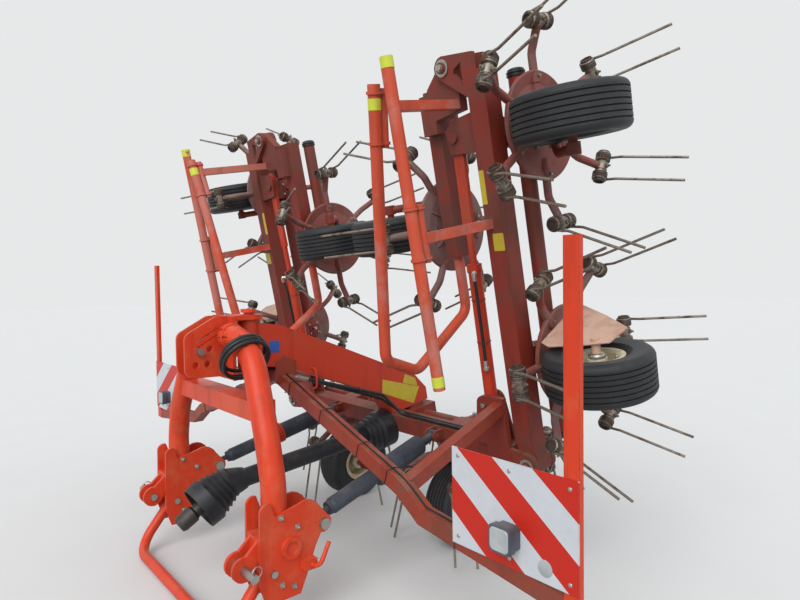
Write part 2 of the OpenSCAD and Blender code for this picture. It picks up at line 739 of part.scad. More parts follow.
module parking_stand() {
    foot_z = stand_d / 2;
    corner = 90;
    painted() upright() difference() {
        union() for (side = [left, right]) on_side(side) {
            bent_tube([
                stand_pivot,
                [stand_pivot.x, stand_foot_y, foot_z],
                [-1, stand_foot_y, foot_z]
            ], stand_d, corner);
            side_pin(stand_pivot.x, stand_pivot.y, stand_pivot.z, stand_d + 14, arch_d - 12);
        }
        for (side = [left, right]) on_side(side)
            side_pin(stand_pivot.x, stand_pivot.y, stand_pivot.z, 24 + 2 * pin_fit, 300);
    }
}

// Hydraulic hoses
hose_d = 15;
// Loops that hang on the arch's left shoulder: [place along the tube, radius]
loops = [[-17, 84], [0, 92], [17, 88]];
shoulder = [235, -pivot_y - 122, 945];
shoulder_lean = 124;
module hose_loops() {
    dark() upright() translate(shoulder) rotate([0, shoulder_lean, 0]) for (loop = loops)
        translate([loop.y - (hose_d + arch_d) / 2 - seat + pow(loop.x, 2) / (2 * arch_bend), 0, loop.x])
            rotate_extrude() translate([loop.y, 0]) circle(d = hose_d);
}
// Lines along the main beam's left side and over the centre beam
module hose_lines() {
    bend = 45;
    start_x = main_w / 2 + hose_d / 2 + seat;
    for (i = [0, 1]) dark() upright() bent_tube([
        [start_x + 17 * i, -555, 782], [start_x + 17 * i, -120, 632 + 20 * i],
        concat([start_x + 35 + 17 * i], level(beam_front + 36 - 18 * i, beam_top + hose_d / 2 + seat)),
        concat([lift_foot.x - 85], level(beam_front + 36 - 18 * i, beam_top + hose_d / 2 + seat))
    ], hose_d, bend);
}

// Wing
module wing_beam(side) {
    half = beam_w / 2;
    start = fold_x + 74;
    finish = outer_x - 42;
    faded() wing(side) {
        difference() {
            union() {
                translate([start, beam_y - half, beam_z - half]) cube([finish - start, beam_w, beam_w]);
                cross_plate(beam_y, beam_w - 1, concat(
                    [[start + 40, beam_z + half], [fold_x, fold_z + 44]],
                    arc_points([fold_x, fold_z], 44, 90, 270, 10),
                    [[start + 40, beam_z - half]]
                ));
                for (s = [-1, 1]) cross_plate(beam_y + s * (half - lug_t / 2), lug_t, concat(
                    [[outer_x - 150, beam_z + half - 30]],
                    [[outer_x + 20, beam_z + half - 40]],
                    arc_points([outer_x, outer_z], 42, 0, 150, 6)
                ));
            }
            // Window in the hinge plates
            cross_plate(beam_y, 2 * beam_w, [
                [outer_x - 84, beam_top + 16], [outer_x - 32, beam_top + 56], [outer_x - 20, beam_top + 52],
                [outer_x - 2, beam_top + 16]
            ]);
            cross_pin(fold_x, beam_y, fold_z, fold_pin_d + 2 * pin_fit, 400);
            cross_pin(outer_x, beam_y, outer_z, fold_pin_d + 2 * pin_fit, 400);
        }
        // Bracket at the eye of the lift cylinder, whose joint is left open
        for (s = [-1, 1]) {
            cross_plate(lift_y + s * (link_t / 2 + lift_side + 4), 8, [
                [lift_eye.x - 70, beam_top - 10], [lift_eye.x - 60, lift_eye.y + 30],
                [lift_eye.x + 30, lift_eye.y + 40], [lift_eye.x + 62, lift_eye.y], [lift_eye.x + 75, beam_top - 10]
            ]);
            cross_pin(lift_eye.x, lift_y + s * (link_t / 2 + lift_side + 13), lift_eye.y, 42, 12);
        }
    }
}
module wing_gear(side) {
    faded() wing(side) {
        for (i = [1, 2]) gear_case(rotor_x[i], beam_back);
        drive_tube(fold_x + 60, rotor_x[1] - 40);
        drive_tube(rotor_x[1] + 40, rotor_x[2] - 40);
        drive_tube(rotor_x[2] + 40, outer_x - 60);
    }
}
// Short tube beside a guard tube, clamped to it by two rings
holder_d = 32;
holder_y = (guard_d + holder_d) / 2 - 2;
module guard_holder(from, to) {
    u = unit(to - from);
    beside = [0, holder_y, 0];
    bar(from + beside, to + beside, holder_d);
    for (end = [from + 10 * u, to - 20 * u]) {
        bar(end, end + 10 * u, guard_d + 10);
        bar(end + beside, end + beside + 10 * u, holder_d + 10);
    }
}
module wing_guard(side) {
    y = -315;
    z = beam_z + 15;
    arm_x = rotor_x[2] - 315;
    painted() wing(side) {
        bar([rotor_x[1] + 25, y, z], [outer_x - 15, y, z + 8], guard_d);
        guard_holder([arm_x - 80, y, z + 3], [arm_x + 115, y, z + 5]);
        square_bar([arm_x, y + holder_y, z + 4], [arm_x, beam_front - seat, z + 4], 34);
    }
}
module wing_shield(side) {
    x = rotor_x[1] + wheel_half + 35;
    slant = 19;
    axle_end = rotor_x[1] + axle_stub + seat;
    pin_end = x + 8;
    // Points [behind the axle, above ground] on the slanting sheet
    color([0.76, 0.62, 0.53]) wing(side) {
        translate([x, wheel_y, 0]) rotate([0, 0, -slant]) side_plate(0, 4, [
            [-60, 320], [-40, 362], [195, 366], [210, 330], [150, 205], [84, 92], [-8, 112], [-30, 183], [-46, 250]
        ]);
        side_pin((axle_end + pin_end) / 2, wheel_y, axle_z, axle_d, pin_end - axle_end);
    }
}
module lift_axis(side) {
    tilted() on_side(side) translate([lift_foot.x, lift_y, lift_foot.y]) rotate([0, lift_lean, 0]) children();
}
module lift_barrel(side) {
    painted() lift_axis(side) difference() {
        union() {
            cylinder(d = barrel_d, h = barrel_len);
            translate([0, 0, barrel_len - 30]) cylinder(d = barrel_d + 8, h = 30);
            cross_pin(0, 0, 0, 50, barrel_d + 4);
        }
        cross_pin(0, 0, 0, 25 + 2 * pin_fit, 200);
        translate([0, 0, 50]) cylinder(d = rod_d + 2 * rod_fit, h = barrel_len);
    }
}
module lift_rod(side) {
    link_w = 50;
    link_start = 700;
    painted() lift_axis(side) {
        translate([0, 0, rod_inner]) cylinder(d = rod_d, h = link_start + 10 - rod_inner);
        translate([-link_w / 2, -link_t / 2, link_start]) cube([link_w, link_t, lift_len + 45 - link_start]);
        cross_pin(0, 0, lift_len + 45, link_w, link_t);
    }
}

// Outer section
outer_end = rotor_x[3] + 120;
knuckle_w = beam_w - 2 * lug_t - 1;
module outer_arm(side) {
    start = outer_x + 48;
    faded() outer(side) {
        translate([start, outer_y - outer_w / 2, beam_z - outer_w / 2])
            cube([outer_end - start, outer_w, outer_w]);
        translate([start + 20, beam_y - knuckle_w / 2, beam_z - 20]) cube([150, outer_y - beam_y, 75]);
        cross_plate(beam_y, knuckle_w, concat(
            [[start + 160, beam_top - 10], [outer_x + 170, beam_top + 20], [outer_x + 158, outer_z + 44]],
            [[outer_x + 80, outer_z + 47]],
            arc_points([outer_x, outer_z], 40, 90, 200, 7),
            [[start + 4, beam_top - 10]]
        ));
        cross_pin(outer_x, beam_y, outer_z, fold_pin_d, beam_w + 24);
    }
}
module outer_gear(side) {
    faded() outer(side) {
        gear_case(rotor_x[3], outer_back);
        drive_tube(outer_x + 60, rotor_x[3] - 40);
    }
}
module outer_guard(side) {
    y = -325;
    inner = [outer_x + 70, y, outer_z + 55];
    outward = [outer_end + 305, y, beam_z + 18];
    nose = [outer_end + 395, y + 160, beam_z - 3];
    fall = unit(outward - inner);
    arm_w = 34;
    arm_x = outer_x + 136;
    painted() outer(side) {
        bent_tube([
            inner, outward, nose, [outer_end + 230, outer_y, nose.z], [outer_end + seat, outer_y, nose.z]
        ], guard_d, 60);
        square_bar([arm_x, y + holder_y, 674], [arm_x, beam_y - knuckle_w / 2 - seat, 674], arm_w);
        guard_holder(inner + 12 * fall, inner + 200 * fall);
    }
}

centre_beam();
main_beam();
centre_gear();
input_guard();
front_guard();
marker_boards();
lamps();
pto_shaft();
pto_guard();
damper_barrels();
damper_rod(left);  // damper_rod_l
damper_rod(right);  // damper_rod_r
hitch_frame();
hitch_brackets();
hitch_pins();
parking_stand();
hose_loops();
hose_lines();
wing_beam(left);  // wing_beam_l
wing_beam(right);  // wing_beam_r
wing_gear(left);  // wing_gear_l
wing_gear(right);  // wing_gear_r
wing_guard(left);  // wing_guard_l
wing_guard(right);  // wing_guard_r
wing_shield(left);  // wing_shield_l
wing_shield(right);  // wing_shield_r
lift_barrel(left);  // lift_barrel_l
lift_barrel(right);  // lift_barrel_r
lift_rod(left);  // lift_rod_l
lift_rod(right);  // lift_rod_r
outer_arm(left);  // outer_arm_l
outer_arm(right);  // outer_arm_r
outer_gear(left);  // outer_gear_l
outer_gear(right);  // outer_gear_r
outer_guard(left);  // outer_guard_l
outer_guard(right);  // outer_guard_r
faded() section(left, 0) rotor(left, 0);  // rotor_l1
faded() section(left, 1) rotor(left, 1);  // rotor_l2
faded() section(left, 2) rotor(left, 2);  // rotor_l3
faded() section(left, 3) rotor(left, 3);  // rotor_l4
faded() section(right, 0) rotor(right, 0);  // rotor_r1
faded() section(right, 1) rotor(right, 1);  // rotor_r2
faded() section(right, 2) rotor(right, 2);  // rotor_r3
faded() section(right, 3) rotor(right, 3);  // rotor_r4
section(left, 0) tyre(rotor_x[0]);  // tyre_l1
section(left, 1) tyre(rotor_x[1]);  // tyre_l2
section(left, 2) tyre(rotor_x[2]);  // tyre_l3
section(left, 3) tyre(rotor_x[3]);  // tyre_l4
section(right, 0) tyre(rotor_x[0]);  // tyre_r1
section(right, 1) tyre(rotor_x[1]);  // tyre_r2
section(right, 2) tyre(rotor_x[2]);  // tyre_r3
section(right, 3) tyre(rotor_x[3]);  // tyre_r4
section(left, 0) rim(rotor_x[0]);  // rim_l1
section(left, 1) rim(rotor_x[1]);  // rim_l2
section(left, 2) rim(rotor_x[2]);  // rim_l3
section(left, 3) rim(rotor_x[3]);  // rim_l4
section(right, 0) rim(rotor_x[0]);  // rim_r1
section(right, 1) rim(rotor_x[1]);  // rim_r2
section(right, 2) rim(rotor_x[2]);  // rim_r3
section(right, 3) rim(rotor_x[3]);  // rim_r4
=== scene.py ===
"""Visual model of a mounted hay tedder, folded for transport and parked on its stand."""
import logging
import math
from dataclasses import dataclass, field
from enum import Enum
from typing import Any, Callable, Iterable, Sequence

import bpy
from bpy.types import Material, Node, NodeSocket, Object, World
from mathutils import Matrix, Vector


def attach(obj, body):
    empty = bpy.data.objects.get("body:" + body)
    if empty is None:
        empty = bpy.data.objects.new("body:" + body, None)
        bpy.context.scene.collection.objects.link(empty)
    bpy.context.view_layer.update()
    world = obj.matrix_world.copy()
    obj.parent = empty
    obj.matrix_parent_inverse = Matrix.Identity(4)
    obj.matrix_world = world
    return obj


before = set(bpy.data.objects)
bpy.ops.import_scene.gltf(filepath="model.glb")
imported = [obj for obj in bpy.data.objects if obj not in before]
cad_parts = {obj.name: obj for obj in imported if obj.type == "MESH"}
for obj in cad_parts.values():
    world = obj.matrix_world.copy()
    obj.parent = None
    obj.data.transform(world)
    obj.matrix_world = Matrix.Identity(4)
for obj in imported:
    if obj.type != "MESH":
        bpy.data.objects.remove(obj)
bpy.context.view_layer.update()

LOG = logging.getLogger("tedder")
MM = 0.001

Point = Sequence[float]
Outline = Sequence[Point]
Triple = tuple[float, float, float]

X, Y, Z = (1, 0, 0), (0, 1, 0), (0, 0, 1)

# Sizes shared with the solids, in millimetres
TILT = math.radians(11.0)
ROTOR_Y = 250.0
ROTOR_PITCH = 850.0
ROTORS_PER_SIDE = 4
WHEEL_Y = 100.0
TYRE_R = 185.0
ARM_Z = 405.0
COIL_Z = 350.0
TIP_Z = 68.0
TIP_R = 465.0
COIL_RING_R = 350.0
COIL_D = 56.0
TINE_GAP = 112.0
ARM_COUNT = 6
BEAM_Y = 95.0
BEAM_Z = 500.0
BEAM_W = 80.0
BEAM_FRONT = BEAM_Y - BEAM_W / 2
BEAM_BACK = BEAM_Y + BEAM_W / 2
MAIN_HALF = 55.0
LUG_T = 20.0
PIN_R = 20.0
FOLD_X = 880.0
FOLD_Z = 480.0
OUTER_X = 2390.0
OUTER_Z = 645.0
CASE_Z = 470.0
OUTER_BACK = 185.0
LIFT_FOOT = (700.0, 84.0, 700.0)
LIFT_LEAN = math.radians(0.826)
DAMPER_FOOT = (387.0, -85.3, 512.1)
DAMPER_EYE = (446.0, -735.0, 335.0)
LINK_X = 450.0
LINK_Y = 1030.0
LINK_Z = 250.0
GUARD_Y = 625.0
GUARD_HALF = 25.0
POST_X = 1475.0
POST_HALF = 22.5
BOARD_W = 423.0
BOARD_H = 282.0
BOARD_FOOT = 432.0
BOARD_T = 4.0
LAMP_X = 1290.0
LAMP_Z = 520.0
LAMP_DEEP = 45.0
SEAT = 0.3

# Thickness of a blank plate
FILM = 0.8

AXLE_Z = (TYRE_R - WHEEL_Y * math.sin(TILT)) / math.cos(TILT)
FRONT_REACH = LINK_Y + 58.0
REAR_REACH = (ROTOR_Y + TIP_R) * math.cos(TILT) - TIP_Z * math.sin(TILT)
ORIGIN_SHIFT = (FRONT_REACH - REAR_REACH) / 2


class Side(Enum):
    """The machine's two sides."""

    LEFT = 1
    RIGHT = -1

    @property
    def tag(self) -> str:
        """Letter that ends a node's name."""
        return "l" if self is Side.LEFT else "r"


class Section(Enum):
    """The machine's folding sections."""

    CENTRE = "frame"
    WING = "wing"
    OUTER = "outer"

    def body(self, side: Side) -> str:
        """Name of the CAD body of this section on one side."""
        return "frame" if self is Section.CENTRE else f"{self.value}_{side.tag}"


def section_of(index: int) -> Section:
    """Section that carries rotor number index, counted from 0 at the middle."""
    return (Section.CENTRE, Section.WING, Section.WING, Section.OUTER)[index]


def turn_about(x: float, z: float, degrees: float) -> Matrix:
    """Turn about a fold pin that runs along Y through x and z."""
    pivot = Matrix.Translation((x, 0, z))
    return pivot @ Matrix.Rotation(math.radians(degrees), 4, "Y") @ pivot.inverted()


def upright(side: Side = Side.LEFT) -> Matrix:
    """Millimetres of the upright frame to metres of the row frame."""
    flip = Matrix.Diagonal((side.value, 1, 1, 1))
    return Matrix.Diagonal((MM, MM, MM, 1)) @ Matrix.Translation((0, ORIGIN_SHIFT, 0)) @ flip


def leaning(side: Side = Side.LEFT) -> Matrix:
    """Millimetres of the leaning rotor frame to metres of the row frame."""
    return upright(side) @ Matrix.Rotation(TILT, 4, "X")


def placed(section: Section, side: Side) -> Matrix:
    """Placement of a section on the folded machine.

    Args:
        section: part of the row that folds as one.
        side: side of the machine.

    Returns:
        Millimetres of the section's working position to metres.
    """
    base = leaning(side)
    if section is Section.CENTRE:
        return base
    base = base @ turn_about(FOLD_X, FOLD_Z, -90)
    return base if section is Section.WING else base @ turn_about(OUTER_X, OUTER_Z, 180)


def circle(count: int, start: float = 0.0) -> list[tuple[float, float]]:
    """Cosine and sine of evenly spaced angles; start is in degrees."""
    angles = (math.radians(start) + 2 * math.pi * i / count for i in range(count))
    return [(math.cos(a), math.sin(a)) for a in angles]


# ---------------------------------------------------------------- shader graphs


class Value:
    """A float socket that takes part in arithmetic."""

    def __init__(self, graph: "Graph", socket: NodeSocket) -> None:
        """Keeps the graph that new nodes go to, and the socket."""
        self.graph = graph
        self.socket = socket

    def _with(self, operation: str, *others: "Value | float", swap: bool = False) -> "Value":
        """Adds one Math node on this value and the others.

        Args:
            operation: Blender's name of the operation.
            others: the other terms.
            swap: puts the terms in reverse order.

        Returns:
            The result.
        """
        terms = [self, *others]
        if swap:
            terms.reverse()
        node = self.graph.node("Math", {"operation": operation}, dict(enumerate(terms)))
        return Value(self.graph, node.outputs[0])

    def __add__(self, other: "Value | float") -> "Value":
        """Sum."""
        return self._with("ADD", other)

    __radd__ = __add__

    def __sub__(self, other: "Value | float") -> "Value":
        """Difference."""
        return self._with("SUBTRACT", other)

    def __rsub__(self, other: float) -> "Value":
        """Difference from a number."""
        return self._with("SUBTRACT", other, swap=True)

    def __mul__(self, other: "Value | float") -> "Value":
        """Product."""
        return self._with("MULTIPLY", other)

    __rmul__ = __mul__

    def clamp(self) -> "Value":
        """Held between 0 and 1."""
        return self._with("MINIMUM", 1.0)._with("MAXIMUM", 0.0)

    def size(self) -> "Value":
        """The value without its sign."""
        return self._with("ABSOLUTE")

    def fraction(self) -> "Value":
        """What is left above the whole number."""
        return self._with("FRACT")

    def largest(self, other: "Value") -> "Value":
        """The larger of two values."""
        return self._with("MAXIMUM", other)

    def step(self, low: float, high: float) -> "Value":
        """Smooth step.

        Args:
            low: value up to which the result is 0.
            high: value from which it is 1; with high under low the step falls.

        Returns:
            The step.
        """
        inputs = {"Value": self, "From Min": low, "From Max": high}
        node = self.graph.node("MapRange", {"interpolation_type": "SMOOTHSTEP"}, inputs)
        return Value(self.graph, node.outputs["Result"])


class Graph:
    """Node tree of one material or world."""

    def __init__(self, owner: Material | World) -> None:
        """Empties the owner's tree."""
        owner.use_nodes = True
        self.tree = owner.node_tree
        self.tree.nodes.clear()

    def node(self, kind: str, settings: dict[str, Any], inputs: dict[Any, Any]) -> Node:
        """Adds any node.

        Args:
            kind: Blender's name of the node type, without ShaderNode.
            settings: attributes that are set first.
            inputs: socket names or numbers with their numbers, sockets or Values.

        Returns:
            The node.
        """
        node = self.tree.nodes.new(f"ShaderNode{kind}")
        for key, value in settings.items():
            setattr(node, key, value)
        for key, value in inputs.items():
            self.feed(node.inputs[key], value)
        return node

    def feed(self, socket: NodeSocket, value: Any) -> None:
        """Gives an input its source.

        Args:
            socket: input of a node.
            value: a Value or socket to link, or a plain value to set.
        """
        if isinstance(value, Value):
            value = value.socket
        if isinstance(value, NodeSocket):
            self.tree.links.new(value, socket)
        else:
            socket.default_value = value

    def seen(self) -> Value:
        """1 for rays that show the surface itself, 0 for the light it throws back."""
        path = self.node("LightPath", {}, {})
        camera, glossy, through = (
            Value(self, path.outputs[f"Is {kind} Ray"]) for kind in ("Camera", "Glossy", "Transmission")
        )
        return camera.largest(glossy).largest(through)

    def mix(self, share: Value, first: Any, second: Any) -> NodeSocket:
        """Colour that goes from first to second with share."""
        ends = {0: share, 6: colour(first), 7: colour(second)}
        return self.node("Mix", {"data_type": "RGBA"}, ends).outputs[2]


class Surface(Graph):
    """Material with a Principled shader."""

    def __init__(self, name: str) -> None:
        """Starts the material."""
        self.material = bpy.data.materials.new(name)
        super().__init__(self.material)
        self.shader = self.node("BsdfPrincipled", {}, {})
        self.node("OutputMaterial", {}, {"Surface": self.shader.outputs[0]})
        self._where: NodeSocket | None = None

    @property
    def where(self) -> NodeSocket:
        """Position on the object, in its own metres."""
        if self._where is None:
            self._where = self.node("TexCoord", {}, {}).outputs["Object"]
        return self._where

    def noise(
        self, scale: float, detail: float = 4.0, rough: float = 0.6, stretch: Point = (1, 1, 1)
    ) -> Value:
        """Cloudy noise from 0 to 1.

        Args:
            scale: clouds in a metre.
            detail: octaves.
            rough: share of the finer octaves.
            stretch: factor on the scale along each axis.

        Returns:
            The noise.
        """
        place = self.where
        if tuple(stretch) != (1, 1, 1):
            inputs = {"Vector": place, "Scale": tuple(stretch)}
            place = self.node("Mapping", {}, inputs).outputs[0]
        inputs = {"Vector": place, "Scale": scale, "Detail": detail, "Roughness": rough}
        return Value(self, self.node("TexNoise", {}, inputs).outputs["Fac"])

    def cells(self, scale: float) -> Value:
        """Distance to scattered points."""
        node = self.node("TexVoronoi", {}, {"Vector": self.where, "Scale": scale})
        return Value(self, node.outputs["Distance"])

    def axis(self, name: str) -> Value:
        """One coordinate of the position, X, Y or Z."""
        node = self.node("SeparateXYZ", {}, {0: self.where})
        return Value(self, node.outputs[name])

    def facing_up(self) -> Value:
        """1 where the surface looks up, 0 where it looks down."""
        normal = self.node("NewGeometry", {}, {}).outputs["Normal"]
        up = self.node("SeparateXYZ", {}, {0: normal})
        return Value(self, up.outputs["Z"]) * 0.5 + 0.5

    def bevel(self, radius: float) -> NodeSocket:
        """Normal over edges rounded by a radius."""
        return self.node("Bevel", {"samples": 4}, {"Radius": radius}).outputs[0]

    def edges(self, radius: float) -> Value:
        """Mask of convex and concave edges.

        Args:
            radius: half the width of the masked strip in metres.

        Returns:
            Near 1 on edges, 0 on flats.
        """
        soft = self.bevel(radius)
        hard = self.node("NewGeometry", {}, {}).outputs["Normal"]
        dot = self.node("VectorMath", {"operation": "DOT_PRODUCT"}, {0: soft, 1: hard})
        return (1.0 - Value(self, dot.outputs["Value"])).step(0.02, 0.22)

    def hollows(self, distance: float) -> Value:
        """Near 1 in corners and under overhangs."""
        node = self.node("AmbientOcclusion", {"samples": 4}, {"Distance": distance})
        return 1.0 - Value(self, node.outputs["AO"])

    def bump(self, height: Value, strength: float, distance: float, round_edges: float = 0.0) -> None:
        """Feeds Normal from a height.

        Args:
            height: the relief.
            strength: share of the relief that shows.
            distance: its depth in metres.
            round_edges: radius of the edges' rounding in metres, or 0.
        """
        inputs: dict[str, Any] = {"Height": height, "Strength": strength, "Distance": distance}
        if round_edges:
            inputs["Normal"] = self.bevel(round_edges)
        self.set(Normal=self.node("Bump", {}, inputs).outputs[0])

    def set(self, **inputs: Any) -> None:
        """Sets or links the shader's own sockets, with _ for a space in their names."""
        for key, value in inputs.items():
            self.feed(self.shader.inputs[key.replace("_", " ")], value)


def colour(value: Any) -> Any:
    """A colour as four numbers; a socket stays as it is."""
    return (*value, 1.0) if isinstance(value, tuple) and len(value) == 3 else value


def srgb(red: int, green: int, blue: int) -> Triple:
    """Linear colour from screen values of 0 to 255."""
    shares = (red / 255, green / 255, blue / 255)
    return tuple(c / 12.92 if c <= 0.04045 else ((c + 0.055) / 1.055) ** 2.4 for c in shares)


DUST = srgb(158, 140, 118)
# Dark brown: dirt on the boards' edges, and grime with painted shade in the enamel's hollows
SOIL_AND_SHADE = srgb(92, 76, 60)
RUST = srgb(104, 58, 36)
DARK_RUST = srgb(62, 40, 32)


@dataclass(frozen=True)
class Paint:
    """Sprayed enamel that fades, gathers dust and chips at its edges; its hollows are painted dark brown,
    partly as grime and partly as painted shade.
    """

    name: str
    fresh: Triple
    faded: Triple
    fading: float = 0.4
    dust: float = 0.3
    chips: float = 0.4
    gloss: float = 0.38
    grime: float = 0.5

    def make(self) -> Material:
        """Builds the finish.

        Returns:
            The material.
        """
        g = Surface(self.name)
        broad = g.noise(1.8, 5, 0.65)
        patch = g.noise(9.0, 6, 0.7)
        fine = g.noise(95.0, 4, 0.7)
        streak = g.noise(14.0, 4, 0.6, (1.0, 1.0, 0.12))
        up = g.facing_up()
        limit = 0.56 - self.fading * 0.2
        fade = (broad * 0.6 + patch * 0.4).step(limit, limit + 0.12)
        base = g.mix(fade, self.fresh, self.faded)
        base = g.mix(streak.step(0.5, 0.64) * 0.3, base, tuple(c * 0.5 for c in self.fresh))
        hollow = g.hollows(0.05)
        dirt = (hollow.step(0.25, 0.85) * 0.7 + (patch * up).step(0.44, 0.62) * 0.8) * self.dust * 1.4
        dirt = (dirt * (fine * 0.7 + 0.6)).clamp()
        base = g.mix(dirt, base, DUST)
        # Dark brown where ambient occlusion finds hollows: partly grime, partly painted shade
        grime_and_painted_shade = (hollow.step(0.45, 0.95) * patch.step(0.35, 0.6) * self.grime).clamp()
        base = g.mix(grime_and_painted_shade, base, SOIL_AND_SHADE)
        edge = g.edges(0.004)
        bare = (patch * 0.6 + fine * 0.7).step(0.66 - self.chips * 0.2, 0.86 - self.chips * 0.2)
        chip = (edge * bare).clamp()
        spots = (g.cells(160.0).step(0.2, 0.08) * broad.step(0.48, 0.58) * self.chips).clamp()
        worn = chip.largest(spots)
        base = g.mix(worn, base, g.mix(fine.step(0.4, 0.62), RUST, DARK_RUST))
        rough = (dirt * 0.35 + worn * 0.35 + fade * 0.12 + fine * 0.08 + self.gloss).clamp()
        g.set(Base_Color=base, Roughness=rough, Metallic=0.0, Specular_IOR_Level=0.36)
        g.bump(fine * 0.4 + patch * 0.6 - worn * 0.5, 0.14, 0.0015, 0.0018)
        return g.material


@dataclass(frozen=True)
class Tread:
    """Old tyre rubber with dust in its grooves."""

    name: str = "tyre_rubber"

    def make(self) -> Material:
        """Builds the finish.

        Returns:
            The material.
        """
        g = Surface(self.name)
        patch = g.noise(16.0, 6, 0.66)
        fine = g.noise(180.0, 4, 0.7)
        hollow = g.hollows(0.02)
        base = g.mix(patch, srgb(19, 21, 24), srgb(42, 44, 48))
        dust = (hollow.step(0.2, 0.9) * 0.55 + patch.step(0.5, 0.8) * 0.35 + fine * 0.08).clamp()
        base = g.mix(dust * 0.32, base, srgb(112, 106, 96))
        rough = (dust * 0.25 + fine * 0.1 + 0.52).clamp()
        g.set(Base_Color=base, Roughness=rough, Specular_IOR_Level=0.4)
        g.bump(fine + patch * 0.5, 0.25, 0.001)
        return g.material


@dataclass(frozen=True)
class Moulded:
    """Moulded plastic or rubber, dusty and scuffed."""

    name: str
    tone: Triple
    pale: Triple
    dust: float = 0.35
    gloss: float = 0.48

    def make(self) -> Material:
        """Builds the finish.

        Returns:
            The material.
        """
        g = Surface(self.name)
        patch = g.noise(13.0, 6, 0.65)
        fine = g.noise(210.0, 3, 0.6)
        scuff = g.noise(60.0, 5, 0.75, (1, 1, 5)).step(0.58, 0.72)
        base = g.mix(patch.step(0.35, 0.75), self.tone, self.pale)
        settled = (g.facing_up() * patch).step(0.35, 0.7)
        dirt = (settled * self.dust + g.hollows(0.03).step(0.3, 0.9) * self.dust).clamp()
        base = g.mix(dirt, base, DUST)
        base = g.mix(scuff * 0.18, base, self.pale)
        rough = (dirt * 0.3 + scuff * 0.1 + fine * 0.08 + self.gloss).clamp()
        g.set(Base_Color=base, Roughness=rough)
        g.bump(fine * 0.5 + patch * 0.5, 0.15, 0.0008, 0.0012)
        return g.material


@dataclass(frozen=True)
class Metal:
    """Bare or plated steel with rust in patches."""

    name: str
    tone: Triple
    rust: float = 0.3
    shine: float = 0.35

    def make(self) -> Material:
        """Builds the finish.

        Returns:
            The material.
        """
        g = Surface(self.name)
        patch = g.noise(24.0, 6, 0.7)
        fine = g.noise(240.0, 4, 0.7)
        rusty = ((patch * 0.75 + fine * 0.3).step(0.78 - self.rust * 0.6, 0.98 - self.rust * 0.55)).clamp()
        bare = g.mix(fine, tuple(c * 0.72 for c in self.tone), self.tone)
        base = g.mix(rusty, bare, g.mix(fine.step(0.4, 0.6), RUST, DARK_RUST))
        rough = (rusty * 0.45 + fine * 0.15 + self.shine).clamp()
        g.set(Base_Color=base, Metallic=(0.9 - rusty * 0.8).clamp(), Roughness=rough)
        g.bump(rusty * 0.6 + fine * 0.4, 0.2, 0.0008, 0.0006)
        return g.material


@dataclass(frozen=True)
class Stripes:
    """Marker board: diagonal bands of red and white film."""

    name: str = "board_stripes"
    pitch: float = 0.2
    slope: float = 0.75
    start: float = 0.3255

    def make(self) -> Material:
        """Builds the finish, with bands that fall to the outer side on both boards.

        Returns:
            The material.
        """
        g = Surface(self.name)
        slant = (g.axis("X").size() * self.slope + g.axis("Z")) * (1.0 / self.pitch) + self.start
        band = slant.fraction().step(0.497, 0.503)
        patch = g.noise(20.0, 5, 0.7)
        fine = g.noise(300.0, 2, 0.5)
        red = g.mix(patch, srgb(208, 36, 18), srgb(194, 44, 28))
        white = g.mix(patch, srgb(218, 222, 228), srgb(198, 202, 208))
        base = g.mix(band, red, white)
        base = g.mix((g.edges(0.004) * patch.step(0.3, 0.7) * 0.5).clamp(), base, SOIL_AND_SHADE)
        base = g.mix(patch.step(0.62, 0.86) * 0.25, base, DUST)
        rough = (fine * 0.1 + patch * 0.15 + 0.3).clamp()
        g.set(Base_Color=base, Roughness=rough, Specular_IOR_Level=0.35)
        g.bump(g.cells(420.0), 0.05, 0.0004)
        return g.material


def made(finish: Any) -> Any:
    """Field that a finish fills with its material."""
    return field(default_factory=finish.make)


